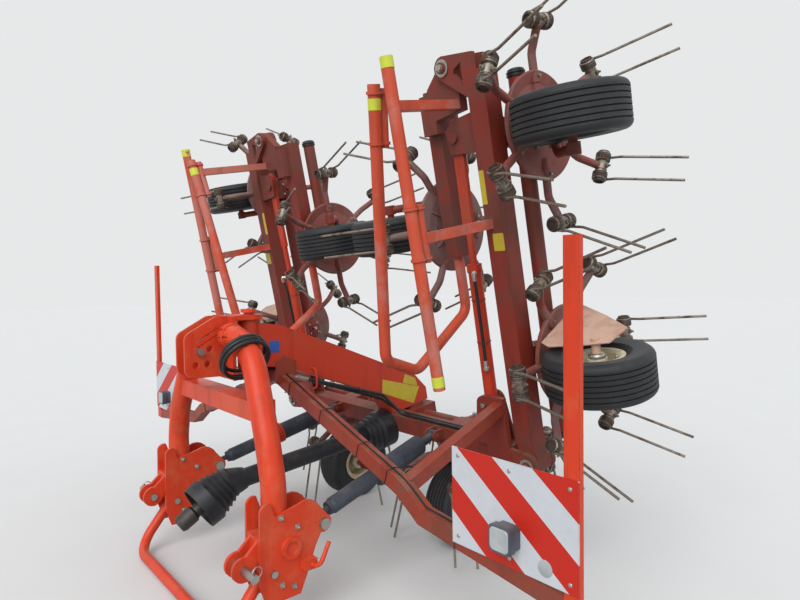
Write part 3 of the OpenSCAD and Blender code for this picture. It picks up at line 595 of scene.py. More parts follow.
@dataclass(frozen=True)
class Finishes:
    """All finishes of the machine."""

    orange: Material = made(
        Paint("orange_enamel", srgb(218, 64, 30), srgb(216, 90, 58), 0.35, 0.12, 0.4, 0.36, 0.3)
    )
    faded: Material = made(
        Paint("faded_enamel", srgb(134, 50, 38), srgb(114, 62, 52), 0.55, 0.26, 0.8, 0.5, 0.8)
    )
    beam: Material = made(
        Paint("beam_enamel", srgb(196, 60, 34), srgb(180, 76, 52), 0.45, 0.2, 0.5, 0.42, 0.5)
    )
    rotor: Material = made(
        Paint("rotor_enamel", srgb(138, 74, 66), srgb(132, 104, 100), 0.6, 0.42, 0.8, 0.52, 0.9)
    )
    guard: Material = made(
        Paint("guard_enamel", srgb(150, 60, 42), srgb(132, 72, 58), 0.45, 0.22, 0.8, 0.42, 0.6)
    )
    weathered: Material = made(
        Paint("weathered_enamel", srgb(206, 82, 54), srgb(198, 118, 104), 0.55, 0.26, 0.6, 0.42, 0.5)
    )
    damper: Material = made(
        Paint("damper_enamel", srgb(50, 56, 64), srgb(70, 76, 86), 0.5, 0.14, 0.2, 0.42, 0.3)
    )
    shield: Material = made(
        Paint("shield_sheet", srgb(206, 168, 148), srgb(190, 142, 120), 0.5, 0.4, 0.3, 0.6, 0.5)
    )
    rim: Material = made(
        Paint("rim_enamel", srgb(222, 212, 184), srgb(198, 184, 150), 0.5, 0.4, 0.5, 0.5, 0.6)
    )
    tyre: Material = made(Tread())
    plastic: Material = made(
        Moulded("black_plastic", srgb(18, 20, 26), srgb(38, 42, 50), 0.14, 0.46)
    )
    hose: Material = made(Moulded("hose_rubber", srgb(13, 14, 16), srgb(30, 32, 36), 0.1, 0.4))
    lens: Material = made(
        Moulded("lamp_lens", srgb(168, 174, 176), srgb(190, 194, 194), 0.16, 0.22)
    )
    lamp: Material = made(Moulded("lamp_plastic", srgb(66, 74, 86), srgb(92, 98, 108), 0.2, 0.34))
    blue: Material = made(Moulded("blue_film", srgb(34, 84, 168), srgb(70, 112, 182), 0.12, 0.32))
    coil: Material = made(Metal("coil_steel", srgb(92, 86, 80), 0.55, 0.44))
    plate: Material = made(
        Moulded("yellow_film", srgb(206, 186, 40), srgb(190, 168, 52), 0.12, 0.35)
    )
    tape: Material = made(Moulded("signal_tape", srgb(214, 224, 62), srgb(196, 208, 80), 0.15, 0.3))
    zinc: Material = made(Metal("plated_steel", srgb(176, 174, 166), 0.32, 0.32))
    tine: Material = made(Metal("tine_steel", srgb(150, 142, 130), 0.5, 0.42))
    shaft: Material = made(Metal("shaft_steel", srgb(86, 84, 82), 0.4, 0.45))
    board: Material = made(Stripes())


# ---------------------------------------------------------------- mesh code


class Mesher:
    """Gathers one piece's surfaces in the millimetres of a placement."""

    def __init__(self, place: Matrix) -> None:
        """Starts an empty piece."""
        self.place = place
        self.points: list[Vector] = []
        self.faces: list[tuple[int, ...]] = []

    def add(self, points: Iterable[Point], faces: Iterable[Sequence[int]]) -> None:
        """Adds a surface.

        Args:
            points: its corners.
            faces: rings of numbers that count from the first of its corners.
        """
        start = len(self.points)
        self.points.extend(self.place @ Vector(p) for p in points)
        flip = self.place.determinant() < 0
        for face in faces:
            ring = [start + i for i in face]
            self.faces.append(tuple(reversed(ring) if flip else ring))

    @staticmethod
    def across(axis: Point) -> tuple[Vector, Vector, Vector]:
        """Directions round an axis.

        Args:
            axis: any vector.

        Returns:
            Two directions across the axis, and its own, each of length 1.
        """
        w = Vector(axis).normalized()
        helper = Vector(Z) if abs(w.z) < 0.9 else Vector(X)
        u = helper.cross(w).normalized()
        return u, w.cross(u), w

    @staticmethod
    def skin(rows: int, sides: int, closed: bool = False) -> list[tuple[int, ...]]:
        """Faces of a tube.

        Args:
            rows: rings of points along it.
            sides: points in each ring.
            closed: joins the last ring to the first instead of capping both ends.

        Returns:
            The faces.
        """
        faces: list[tuple[int, ...]] = []
        for j in range(rows if closed else rows - 1):
            near, far = j * sides, (j + 1) % rows * sides
            pairs = ((i, (i + 1) % sides) for i in range(sides))
            faces += [(near + a, near + b, far + b, far + a) for a, b in pairs]
        if not closed:
            faces += [tuple(reversed(range(sides))), tuple((rows - 1) * sides + i for i in range(sides))]
        return faces

    def revolve(self, at: Point, axis: Point, profile: Outline, sides: int) -> None:
        """Adds a turned form that is closed at both ends.

        Args:
            at: foot of the axis.
            axis: its direction.
            profile: radius and height from the foot, row by row.
            sides: points round the form.
        """
        u, v, w = self.across(axis)
        points = [Vector(at) + w * h + (u * c + v * t) * r for r, h in profile for c, t in circle(sides)]
        self.add(points, self.skin(len(profile), sides))

    def tube(self, path: Sequence[Point], radius: float, sides: int = 8, closed: bool = False) -> None:
        """Adds round wire or hose.

        Args:
            path: points along its middle.
            radius: half its thickness.
            sides: points round it.
            closed: joins its ends.
        """
        spots = [Vector(p) for p in path]
        count = len(spots)
        points: list[Vector] = []
        normal: Vector | None = None
        for i, spot in enumerate(spots):
            before = spots[i - 1] if i or closed else spots[0]
            after = spots[(i + 1) % count] if i + 1 < count or closed else spots[-1]
            along = (after - before).normalized()
            if normal is None:
                normal = self.across(along)[0]
            normal = (normal - along * normal.dot(along)).normalized()
            side = along.cross(normal)
            points += [spot + (normal * c + side * t) * radius for c, t in circle(sides)]
        self.add(points, self.skin(count, sides, closed))

    def tie(self, ring: Sequence[Point]) -> None:
        """Adds a cable tie along a ring."""
        self.tube(ring, 1.8, 6, closed=True)

    def bolt(self, at: Point, axis: Point, size: float, stem: float = 0.0) -> None:
        """Adds a hexagon head on a washer.

        Args:
            at: middle of the washer's seat.
            axis: direction of the head.
            size: the thread's diameter.
            stem: length of the thread's end above the head.
        """
        w = Vector(axis).normalized()
        start = Vector(at)
        thick, head = size * 0.2, size * 0.62
        washer = [(size * 0.98, 0), (size * 1.05, thick * 0.3), (size * 1.05, thick), (size * 0.8, thick)]
        self.revolve(start, w, washer, 20)
        hexagon = [(size * 0.86, 0), (size * 0.9, head * 0.1), (size * 0.9, head * 0.85), (size * 0.74, head)]
        self.revolve(start + w * thick, w, hexagon, 6)
        if stem:
            thread = [(size * 0.46, -0.5), (size * 0.46, stem * 0.85), (size * 0.36, stem)]
            self.revolve(start + w * (thick + head), w, thread, 12)

    def slab(self, outline: Outline, at: Point, u: Point, v: Point, thick: float, rim: float = 0.6) -> None:
        """Adds a plate.

        Args:
            outline: its corners in the plane of u and v.
            at: where the outline counts from.
            u: first direction of the plane.
            v: second direction of the plane.
            thick: its thickness, across the plane.
            rim: width of the eased front edge.
        """
        uu, vv = Vector(u).normalized(), Vector(v).normalized()
        w = uu.cross(vv)
        count = len(outline)
        corners = [Vector(p) for p in outline]
        centre = sum(corners, Vector((0, 0))) / count
        points: list[Vector] = []
        for height, inset in ((0.0, 0.0), (thick - rim, 0.0), (thick, rim)):
            for corner in corners:
                q = corner - (corner - centre).normalized() * inset
                points.append(Vector(at) + uu * q.x + vv * q.y + w * height)
        self.add(points, self.skin(3, count))

    def piece(self, name: str, body: str, material: Material, sharp: float = 32.0) -> None:
        """Makes the object and lets it ride on a body.

        Args:
            name: the piece's name.
            body: the body's name.
            material: its finish.
            sharp: angle in degrees above which an edge stays sharp.
        """
        mesh = bpy.data.meshes.new(name)
        mesh.from_pydata(self.points, [], self.faces)
        mesh.materials.append(material)
        mesh.polygons.foreach_set("use_smooth", [True] * len(mesh.polygons))
        mesh.update()
        mesh.set_sharp_from_angle(angle=math.radians(sharp))
        obj = bpy.data.objects.new(name, mesh)
        bpy.context.scene.collection.objects.link(obj)
        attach(obj, body)
        LOG.info("%s: %d faces on %s", name, len(mesh.polygons), body)


def dress(node: str, *materials: Material) -> Object:
    """Gives a CAD node its materials.

    Args:
        node: the node's name.
        materials: its finishes, of which the first covers it.

    Returns:
        The node's object.
    """
    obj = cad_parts[node]
    obj.data.materials.clear()
    for material in materials:
        obj.data.materials.append(material)
    return obj


def paint_faces(obj: Object, place: Matrix, choose: Callable[[Vector], int]) -> None:
    """Picks each face's material.

    Args:
        obj: the CAD node's object.
        place: placement in whose millimetres the faces are found.
        choose: number of the material for a face's middle.
    """
    back = place.inverted()
    for polygon in obj.data.polygons:
        polygon.material_index = choose(back @ polygon.center)


def rounded(width: float, height: float, corner: float, steps: int = 4) -> Outline:
    """Outline of a rectangle with round corners.

    Args:
        width: along the first direction.
        height: along the second direction.
        corner: radius of the corners.
        steps: spans in each corner.

    Returns:
        Points from the middle of the rectangle.
    """
    points = []
    for cx, cy, start in ((1, 1, 0), (-1, 1, 90), (-1, -1, 180), (1, -1, 270)):
        x, y = cx * (width / 2 - corner), cy * (height / 2 - corner)
        for c, t in circle(4 * steps, start)[: steps + 1]:
            points.append((x + corner * c, y + corner * t))
    return points


# ---------------------------------------------------------------- sub-assemblies


@dataclass
class RowPart:
    """Anything that the row has once for each rotor."""

    side: Side
    index: int
    finishes: Finishes

    @property
    def tag(self) -> str:
        """Side and number, as in the node's name."""
        return f"{self.side.tag}{self.index + 1}"

    def at(self, y: float, z: float) -> Matrix:
        """Millimetres from a point of the rotor's row, at work."""
        x = (self.index + 0.5) * ROTOR_PITCH
        return placed(section_of(self.index), self.side) @ Matrix.Translation((x, y, z))


@dataclass
class Rotor(RowPart):
    """One rotor with its arms, wound coils and clamps."""

    wire_r: float = 5.0
    turns: int = 4
    coil_l: float = 34.0
    steel_from: float = 318.0
    clamp_r: float = 22.0

    @property
    def phase(self) -> float:
        """Angle of the first arm, in degrees."""
        first = (self.side is Side.LEFT) == (self.index % 2 == 0)
        return 0.0 if first else 180.0 - 180.0 / ARM_COUNT

    @property
    def place(self) -> Matrix:
        """Millimetres from the rotor's centre on the ground, at work."""
        return self.at(ROTOR_Y, 0)

    def build(self) -> None:
        """Dresses the node and adds its coils and bolts."""
        obj = dress(f"rotor_{self.tag}", self.finishes.rotor, self.finishes.tine)
        paint_faces(obj, self.place, lambda p: int(math.hypot(p.x, p.y) > self.steel_from))
        self.coils()
        self.clamps()
        self.ribs()

    def ribs(self) -> None:
        """Pressed ribs on the disc, and straps over the arm roots."""
        mesher = Mesher(self.place)
        rib = [(66, 415), (150, 405), (150, 411), (140, 416), (78, 425), (66, 424)]
        for place in self.arm_places():
            mesher.place = place @ Matrix.Rotation(math.pi / ARM_COUNT, 4, "Z")
            mesher.slab(rib, (0, 4, 0), X, Z, 8, 1)
            mesher.place = place
            mesher.revolve((150, 0, ARM_Z - 14), X, [(15, 0), (18, 0.6), (18, 25.4), (15, 26)], 24)
        mesher.piece(f"rotor_ribs_{self.tag}", f"rotor_{self.tag}", self.finishes.rotor)

    def arm_places(self) -> list[Matrix]:
        """Placement of each arm, along its own X."""
        return [
            self.place @ Matrix.Rotation(math.radians(self.phase + 360.0 * k / ARM_COUNT), 4, "Z")
            for k in range(ARM_COUNT)
        ]

    def coils(self) -> None:
        """Wound spring coils at the arm ends."""
        mesher = Mesher(self.place)
        radius = COIL_D / 2 - self.wire_r + 1.5
        steps = 14
        rise = (self.coil_l - 1.6 * self.wire_r) / (steps * self.turns)
        wound = circle(steps) * self.turns + [(1.0, 0.0)]
        end = [(19, 0), (22, 1), (22, 7), (16, 7), (15, 1.5)]
        for place in self.arm_places():
            mesher.place = place
            for s in (-1, 1):
                start = s * (TINE_GAP / 2 - self.coil_l / 2) - rise * steps * self.turns / 2
                path = [
                    (COIL_RING_R + radius * c, start + i * rise, COIL_Z + radius * t)
                    for i, (c, t) in enumerate(wound)
                ]
                mesher.tube(path, self.wire_r, 6)
                mesher.revolve((COIL_RING_R, s * (TINE_GAP / 2 - 1), COIL_Z), (0, s, 0), end, 20)
        mesher.piece(f"coils_{self.tag}", f"rotor_{self.tag}", self.finishes.coil, 60)

    def clamps(self) -> None:
        """Bolts that hold the coils, and the disc's ring of bolts."""
        mesher = Mesher(self.place)
        r = self.clamp_r
        for place in self.arm_places():
            mesher.place = place
            clamp = [(19, 0), (r, 0.5), (r, 29.5), (19, 30)]
            mesher.revolve((COIL_RING_R, -15, COIL_Z), Y, clamp, 24)
            mesher.bolt((COIL_RING_R + r, 0, COIL_Z), X, 9, 7)
            mesher.bolt((COIL_RING_R, 0, COIL_Z - r), (0, 0, -1), 9, 9)
            mesher.bolt((118, 0, ARM_Z + 8), Z, 8)
            mesher.bolt((92, 0, ARM_Z + 10.5), Z, 8)
            mesher.bolt((172, 0, ARM_Z - 34), (0, 0, -1), 7)
            mesher.place = place @ Matrix.Rotation(math.pi / ARM_COUNT, 4, "Z")
            mesher.bolt((84, 0, ARM_Z - 19), (0, 0, -1), 8)
        mesher.piece(f"rotor_bolts_{self.tag}", f"rotor_{self.tag}", self.finishes.tine)


@dataclass
class Wheel(RowPart):
    """One tyre on its cream rim."""

    nut_circle: float = 50.0
    nut_count: int = 5

    def build(self) -> None:
        """Dresses tyre and rim and adds nuts, valve and hub cap."""
        dress(f"tyre_{self.tag}", self.finishes.tyre)
        dress(f"rim_{self.tag}", self.finishes.rim)
        mesher = Mesher(self.at(WHEEL_Y, AXLE_Z))
        for c, t in circle(self.nut_count, 36):
            mesher.bolt((12.5, self.nut_circle * c, self.nut_circle * t), X, 9, 6)
        cap = [(27, 0), (29, 1), (29, 9), (24, 15), (10, 17.5)]
        mesher.revolve((50, 0, 0), X, cap, 24)
        valve = [(3.5, 0), (3.5, 20), (4.6, 21), (4.6, 30), (3.2, 32)]
        mesher.revolve((34, 0, -66), (1, 0, -0.25), valve, 10)
        mesher.piece(f"wheel_nuts_{self.tag}", f"wheel_{self.tag}", self.finishes.zinc)


@dataclass
class Marker:
    """Marker board and lamp of one side."""

    side: Side
    finishes: Finishes
    board_face: float = -(GUARD_Y + GUARD_HALF + SEAT + BOARD_T)
    long_fall: float = 0.3186
    end_fall: float = 0.11

    def build(self) -> None:
        """Adds rivets and disc on the board, the lamp's glass and rim, and its cable."""
        place = upright(self.side)
        tag = self.side.tag
        middle_x = POST_X + POST_HALF - BOARD_W / 2
        rivets = Mesher(place)
        rivet = [(6, 0), (6, 0.8), (4.5, 2.4), (1.5, 3.2)]
        for dx in (-BOARD_W / 2 + 24, 0, BOARD_W / 2 - 24):
            for dz in (24, BOARD_H - 24):
                rivets.revolve((middle_x + dx, self.board_face, BOARD_FOOT + dz), (0, -1, 0), rivet, 14)
        rivets.piece(f"board_rivets_{tag}", "frame", self.finishes.zinc)
        front = self.board_face - SEAT - LAMP_DEEP
        glass = Mesher(place)
        glass.slab(rounded(62, 62, 13, 6), (LAMP_X, front, LAMP_Z), X, Z, 5, 2.5)
        glass.piece(f"lamp_glass_{tag}", "frame", self.finishes.lens)
        rim = Mesher(place)
        ring = [(LAMP_X + x, front, LAMP_Z + z) for x, z in rounded(66, 66, 14, 6)]
        rim.tube(ring, 2.4, 8, closed=True)
        rim.piece(f"lamp_rim_{tag}", "frame", self.finishes.lamp)
        disc = Mesher(place)
        disc.revolve((1400, self.board_face, 470), (0, -1, 0), [(22, 0), (22, 0.5), (21.5, 0.7)], 32)
        disc.piece(f"board_disc_{tag}", "frame", self.finishes.lens)
        self.cable(place)

    def cable(self, place: Matrix) -> None:
        """Adds the lamp's cable, tied along the guard tube.

        Args:
            place: placement of the upright frame on this side.
        """
        y = -GUARD_Y
        tag = self.side.tag
        on_tube = (
            (62, 806), (140, 781), (300, 726), (470, 669), (640, 612), (810, 555), (860, 529), (930, 484),
            (1010, 476), (1120, 463), (1200, 455), (1262, 462),
        )
        path = [(x, y, z) for x, z in on_tube]
        path += [(1286, y - 8, 486), (LAMP_X, y - 20, 512), (LAMP_X, self.board_face + 4.5, LAMP_Z)]
        cable = Mesher(place)
        cable.tube(path, 3.4, 8)
        cable.piece(f"lamp_cable_{tag}", "frame", self.finishes.hose)
        ties = Mesher(place)
        tie = ((-26.5, -26.5), (26.5, -26.5), (26.5, 27), (8, 31), (0, 33), (-8, 31), (-26.5, 27))
        long, end = self.long_fall, self.end_fall
        for x, z, fall in (
            (130, 754, long), (360, 677, long), (600, 596, long), (760, 542, long), (1080, 437, end),
        ):
            level = math.sqrt(1 - fall * fall)
            ties.tie([(x + v * fall, y + u, z + v * level) for u, v in tie])
        ties.piece(f"cable_ties_{tag}", "frame", self.finishes.plastic)


@dataclass
class Plates:
    """Blank yellow and blue plates on the beams."""

    finishes: Finishes

    def build(self) -> None:
        """Adds the plates where the machine carries them."""
        on_beam = (MAIN_HALF + 0.1, 0, 0)
        front = BEAM_FRONT - 0.1
        for side in Side:
            main = Mesher(upright(side))
            main.slab([(-104, 653), (95, 576), (133, 655), (-100, 718)], on_beam, Y, Z, FILM, 0.3)
            main.slab([(27, 686), (122, 661), (106, 702), (40, 729)], on_beam, Y, Z, FILM, 0.3)
            main.piece(f"main_plate_{side.tag}", "frame", self.finishes.plate)
            sign = Mesher(upright(side))
            corner = (MAIN_HALF + 0.1, -672, 925)
            sign.slab(rounded(46, 50, 4), corner, (0, 1, -0.08), (0, 0.08, 1), FILM, 0.3)
            sign.piece(f"blue_plate_{side.tag}", "frame", self.finishes.blue)
            wing = Mesher(placed(Section.WING, side))
            wing.slab(rounded(64, 50, 4), (1742, front, 488), X, Z, FILM, 0.3)
            wing.slab(rounded(122, 24, 3), (1943, front, 527), X, Z, FILM, 0.3)
            wing.piece(f"wing_plate_{side.tag}", f"wing_{side.tag}", self.finishes.plate)


@dataclass
class Gears:
    """Bolts, collars and boots of the gear cases and drive tubes on one side."""

    side: Side
    finishes: Finishes

    def build(self) -> None:
        """Adds the small parts section by section."""
        for section in Section:
            place = placed(section, self.side)
            steel, paint, rubber = Mesher(place), Mesher(place), Mesher(place)
            for index in (i for i in range(ROTORS_PER_SIDE) if section_of(i) is section):
                self.case(steel, paint, index)
            self.drive_ends(section, rubber)
            body, tag = section.body(self.side), f"{section.value}_{self.side.tag}"
            steel.piece(f"case_bolts_{tag}", body, self.finishes.zinc)
            paint.piece(f"case_collars_{tag}", body, self.finishes.faded)
            if rubber.faces:
                rubber.piece(f"drive_boots_{tag}", body, self.finishes.plastic)

    @staticmethod
    def case(steel: Mesher, paint: Mesher, index: int) -> None:
        """One gear case: two rings of bolts, breather, collars and bracket bolts.

        Args:
            steel: takes the bolts and the breather.
            paint: takes the collars and the weld.
            index: number of the rotor under the case.
        """
        x = (index + 0.5) * ROTOR_PITCH
        last = index == ROTORS_PER_SIDE - 1
        back = OUTER_BACK if last else BEAM_BACK
        for count, start, ring, z, size in ((6, 30, 76, 447, 7), (4, 45, 38, 519, 6)):
            for c, t in circle(count, start):
                steel.bolt((x + ring * c, ROTOR_Y + ring * t, z), Z, size)
        breather = [(9, 0), (9, 6), (6, 7), (6, 11), (10, 12), (10, 18), (6, 22)]
        steel.revolve((x, ROTOR_Y, 523), Z, breather, 16)
        collar = [(30, 0), (40, 0), (40, 11), (35, 15), (30, 15)]
        for s in (-1, 1):
            for dy, z in ((18, 482), (18, 518), (52, 484)):
                steel.bolt((x + 52 * s, back + dy, z), (s, 0, 0), 8, 5)
            if s < 0 or not last:
                paint.revolve((x + 58 * s, ROTOR_Y, CASE_Z), (s, 0, 0), collar, 32)
                for c, t in circle(4, 45):
                    steel.bolt((x + 69 * s, ROTOR_Y + 35 * c, CASE_Z + 35 * t), (s, 0, 0), 4.5)
        weld = [(x + dx, back + 2 + dy, BEAM_Z + 33 + dy / 2) for dx, dy in ((-45, 0), (0, 1), (45, 0))]
        paint.tube(weld, 4, 8)

    @staticmethod
    def drive_ends(section: Section, rubber: Mesher) -> None:
        """Adds ribbed boots on the drive tubes at the folds.

        Args:
            section: the section whose tubes end there.
            rubber: takes the boots.
        """
        ends = {
            Section.CENTRE: [(FOLD_X - 60, 1)],
            Section.WING: [(FOLD_X + 60, -1), (OUTER_X - 60, 1)],
            Section.OUTER: [(OUTER_X + 60, -1)],
        }[section]
        boot = [
            (30, 0), (35, 1), (35, 8), (32, 10), (35, 13), (35, 17), (31, 20), (31, 24), (26, 28), (20, 30),
            (12, 31),
        ]
        for x, s in ends:
            rubber.revolve((x - 12 * s, ROTOR_Y, CASE_Z), (s, 0, 0), boot, 28)


@dataclass
class Hinges:
    """Washers and bolts on the fold pins, and bolts at the lift feet, of one side."""

    side: Side
    finishes: Finishes

    def build(self) -> None:
        """Adds the pin ends."""
        tag, zinc = self.side.tag, self.finishes.zinc
        fold = Mesher(leaning(self.side))
        for y, s in ((BEAM_FRONT - LUG_T, -1), (BEAM_BACK + LUG_T, 1)):
            self.pin_end(fold, (FOLD_X, y, FOLD_Z), s, 10)
        x, y, z = LIFT_FOOT
        for s in (-1, 1):
            fold.bolt((x, y + s * 47 - 4, z), (0, s, 0), 12)
        fold.piece(f"fold_pin_ends_{tag}", "frame", zinc)
        outer = Mesher(placed(Section.OUTER, self.side))
        for y, s in ((BEAM_FRONT - 0.6, -1), (BEAM_BACK + 0.6, 1)):
            self.pin_end(outer, (OUTER_X, y, OUTER_Z), s, 11.4)
        outer.piece(f"outer_pin_ends_{tag}", f"outer_{tag}", zinc)

    @staticmethod
    def pin_end(mesher: Mesher, at: Point, s: int, proud: float) -> None:
        """Adds a washer round a pin, and the bolt in the pin's end.

        Args:
            mesher: takes both.
            at: middle of the pin where it leaves the lug.
            s: 1 for the end at the back, -1 for the front.
            proud: how far the pin stands out.
        """
        washer = [(PIN_R, 0.2), (PIN_R + 11, 0.4), (PIN_R + 11, 5), (PIN_R + 0.4, 5.6)]
        mesher.revolve(at, (0, s, 0), washer, 32)
        mesher.bolt((at[0], at[1] + s * proud, at[2]), (0, s, 0), 13)


@dataclass
class LiftHose:
    """Hose, fittings and ties along one lift barrel."""

    side: Side
    finishes: Finishes
    hose_r: float = 6.5
    top: float = 528.0
    low: float = 150.0
    out: tuple[float, float] = (0.6, -0.8)
    tie_r: float = 27.2
    nose: float = 0.16
    nose_out: float = 14.5

    def build(self) -> None:
        """Adds the hose and its steel ends on the barrel."""
        foot = leaning(self.side) @ Matrix.Translation(LIFT_FOOT)
        place = foot @ Matrix.Rotation(LIFT_LEAN, 4, "Y")
        body, tag = f"lift_barrel_{self.side.tag}", self.side.tag
        hose = Mesher(place)
        run = ((47, 515), (40, 480), (35.5, 440), (34, 300), (34, 232), (36, 190), (38, 167))
        hose.tube([self.at(r, h) for r, h in run], self.hose_r, 12)
        hose.piece(f"lift_hose_{tag}", body, self.finishes.hose)
        ends = Mesher(place)
        port = [(11, 0), (11, 5), (8, 6), (8, 14), (11, 15), (11, 24), (8, 26)]
        for h in (self.top, self.low):
            ends.revolve(self.at(25, h), (*self.out, 0), port, 6)
        for bend in (
            ((47, 529), (49, 520), (47, 512), (45.5, 502)),
            ((44, 149), (43, 158), (39.5, 170), (37.5, 180)),
        ):
            ends.tube([self.at(r, h) for r, h in bend], 8, 10)
        ends.piece(f"lift_fittings_{tag}", body, self.finishes.zinc)
        ties = Mesher(place)
        for h in (420, 250):
            ring = []
            for c, t in circle(24):
                facing = c * self.out[0] + t * self.out[1]
                reach = self.tie_r + max(0.0, facing - 1 + self.nose) / self.nose * self.nose_out
                ring.append((reach * c, reach * t, h))
            ties.tube(ring, 1.6, 6, closed=True)
        ties.piece(f"lift_ties_{tag}", body, self.finishes.plastic)

    def at(self, radius: float, height: float) -> tuple[float, float, float]:
        """A point beside the barrel."""
        return (radius * self.out[0], radius * self.out[1], height)


@dataclass
class BeamHoses:
    """Ends, holder and ties of the hose lines along the main beam."""

    finishes: Finishes
    x: float = MAIN_HALF + 7.8
    start_y: float = -555.0
    start_z: float = 782.0
    run: float = 435.0
    drop: float = 150.0
    fan: float = 20.0
    pitch: float = 17.0

    def build(self) -> None:
        """Adds the fittings, the block they enter, the bent holder and the ties."""
        place = upright()
        ends = Mesher(place)
        fitting = [(8.4, 0), (8.8, 1), (8.8, 34), (7.6, 35), (9.5, 36), (9.5, 50), (6, 51)]
        for i in range(2):
            fall = Vector((0, self.run, -self.drop + self.fan * i)).normalized()
            start = Vector((self.x + self.pitch * i, self.start_y, self.start_z))
            ends.revolve(start + fall * 26, -fall, fitting, 6)
            bend = [start - fall * 24, start - fall * 36 + Vector((-2, 0, -3))]
            bend += [start - fall * 42 + Vector((-10, 0, -8)), Vector((MAIN_HALF - 2, -606, 786))]
            ends.tube(bend, 6, 10)
        ends.piece("beam_hose_ends", "frame", self.finishes.zinc)
        block = Mesher(place)
        block.slab(rounded(46, 52, 6), (MAIN_HALF, -606, 800), Y, Z, 9, 2)
        block.piece("hose_block", "frame", self.finishes.beam)
        holder = Mesher(place)
        wire = (
            (-3, -495, 815), (22, -496, 817), (38, -496, 806), (41, -495, 780), (40, -494, 750),
            (34, -493, 735), (16, -493, 729), (-3, -493, 731),
        )
        holder.tube([(MAIN_HALF + x, y, z) for x, y, z in wire], 5, 10)
        holder.piece("hose_holder", "frame", self.finishes.beam)
        ties = Mesher(place)
        tie = ((-1, -12), (10, -13), (30, -10), (35, 0), (30, 14), (10, 14), (-1, 13))
        for y in (-400, -260, -170):
            z = self.start_z - (y - self.start_y) * (self.drop - self.fan / 2) / self.run
            ties.tie([(MAIN_HALF + u, y + 1, z + v) for u, v in tie])
        ties.piece("beam_hose_ties", "frame", self.finishes.plastic)


@dataclass
class Hitch:
    """Welds, bolts, linch pins and loop ties of the hitch."""

    finishes: Finishes
    collar: Triple = (110.0, -880.0, 986.0)
    shoulder: Triple = (235.0, -882.0, 945.0)
    lean: float = math.radians(124)
    plate: float = 56.7

    def build(self) -> None:
        """Adds the small parts of the hitch."""
        for side in Side:
            place, tag = upright(side), side.tag
            welds = Mesher(place)
            welds.tube(self.ring(self.collar, X, 46.5), 4.0, 8, closed=True)
            welds.piece(f"hitch_welds_{tag}", "headstock", self.finishes.orange)
            bolts = Mesher(place)
            for y, z in ((-905, 398), (-842, 352), (-858, 150), (-905, 168)):
                for s in (1, -1):
                    bolts.bolt((LINK_X + self.plate * s, y, z), (s, 0, 0), 10, 7)
            bolts.piece(f"hitch_bolts_{tag}", "headstock", self.finishes.zinc)
        self.linch_pins()
        self.loop_ties()

    @staticmethod
    def ring(at: Point, axis: Point, radius: float) -> list[Vector]:
        """Points of a circle round an axis."""
        u, v, _ = Mesher.across(axis)
        return [Vector(at) + (u * c + v * t) * radius for c, t in circle(32)]

    def linch_pins(self) -> None:
        """Adds the pins with spring rings in the ends of the lower link pins."""
        end = LINK_X + 98
        for side in Side:
            pins = Mesher(upright(side))
            pins.tube([(end, -LINK_Y, LINK_Z + 24), (end, -LINK_Y, LINK_Z - 22)], 4.2, 12)
            pins.tube(self.ring((end, -LINK_Y + 14, LINK_Z + 12), (1, 0.2, 0), 19), 2.0, 8, closed=True)
            pins.piece(f"linch_pin_{side.tag}", "headstock", self.finishes.zinc)

    def loop_ties(self) -> None:
        """Adds the ties that hold the hose loops on the arch."""
        ties = Mesher(upright() @ Matrix.Translation(self.shoulder) @ Matrix.Rotation(self.lean, 4, "Y"))
        tie = ((-7, -26), (8.5, -26), (9.5, 0), (8.5, 26), (-7, 26), (-7.2, 0))
        for turn in (-32, 30):
            a = math.radians(180 + turn)
            out = Vector((math.cos(a), math.sin(a), 0))
            along = Vector((-out.y, out.x, 0))
            ties.tie([out * (52.2 + u) + along * 2 + Vector((0, 0, w)) for u, w in tie])
        ties.piece("loop_ties", "headstock", self.finishes.plastic)


@dataclass
class Structure:
    """Frames, guards, hitch, shaft and cylinders: the finishes of their solids."""

    finishes: Finishes
    ring_foot: float = 300.0
    ring_top: float = 362.0
    ring_r: float = 43.0

    def build(self) -> None:
        """Dresses each node; * stands for each side's letter."""
        f = self.finishes
        for material, names in (
            (f.faded, "centre_beam centre_gear wing_beam_* wing_gear_* outer_arm_* outer_gear_*"),
            (f.beam, "main_beam lift_barrel_* lift_rod_*"),
            (f.orange, "hitch_frame hitch_brackets parking_stand"),
            (f.weathered, "wing_guard_* outer_guard_*"),
            (f.plastic, "input_guard pto_guard"),
            (f.hose, "hose_loops hose_lines"),
            (f.damper, "damper_rod_*"),
            (f.shield, "wing_shield_*"),
            (f.board, "marker_boards"),
            (f.lamp, "lamps"),
            (f.shaft, "pto_shaft"),
            (f.zinc, "hitch_pins"),
        ):
            for name in names.split():
                for node in {name.replace("*", side.tag) for side in Side}:
                    dress(node, material)
        self.damper_bands()
        posts = dress("front_guard", f.guard, f.orange)
        paint_faces(posts, upright(), lambda p: int(abs(p.x) > POST_X - POST_HALF - 0.5))

    def damper_bands(self) -> None:
        """Paints the rings at the dampers' mouths orange."""
        barrels = dress("damper_barrels", self.finishes.damper, self.finishes.orange)
        foot, eye = Vector(DAMPER_FOOT), Vector(DAMPER_EYE)
        along = (eye - foot).normalized()

        def choose(p: Vector) -> int:
            """1 on the rings."""
            q = Vector((abs(p.x), p.y, p.z)) - foot
            height = q.dot(along)
            on_ring = self.ring_foot < height < self.ring_top
            return int(on_ring and (q - along * height).length > self.ring_r)

        paint_faces(barrels, upright(), choose)


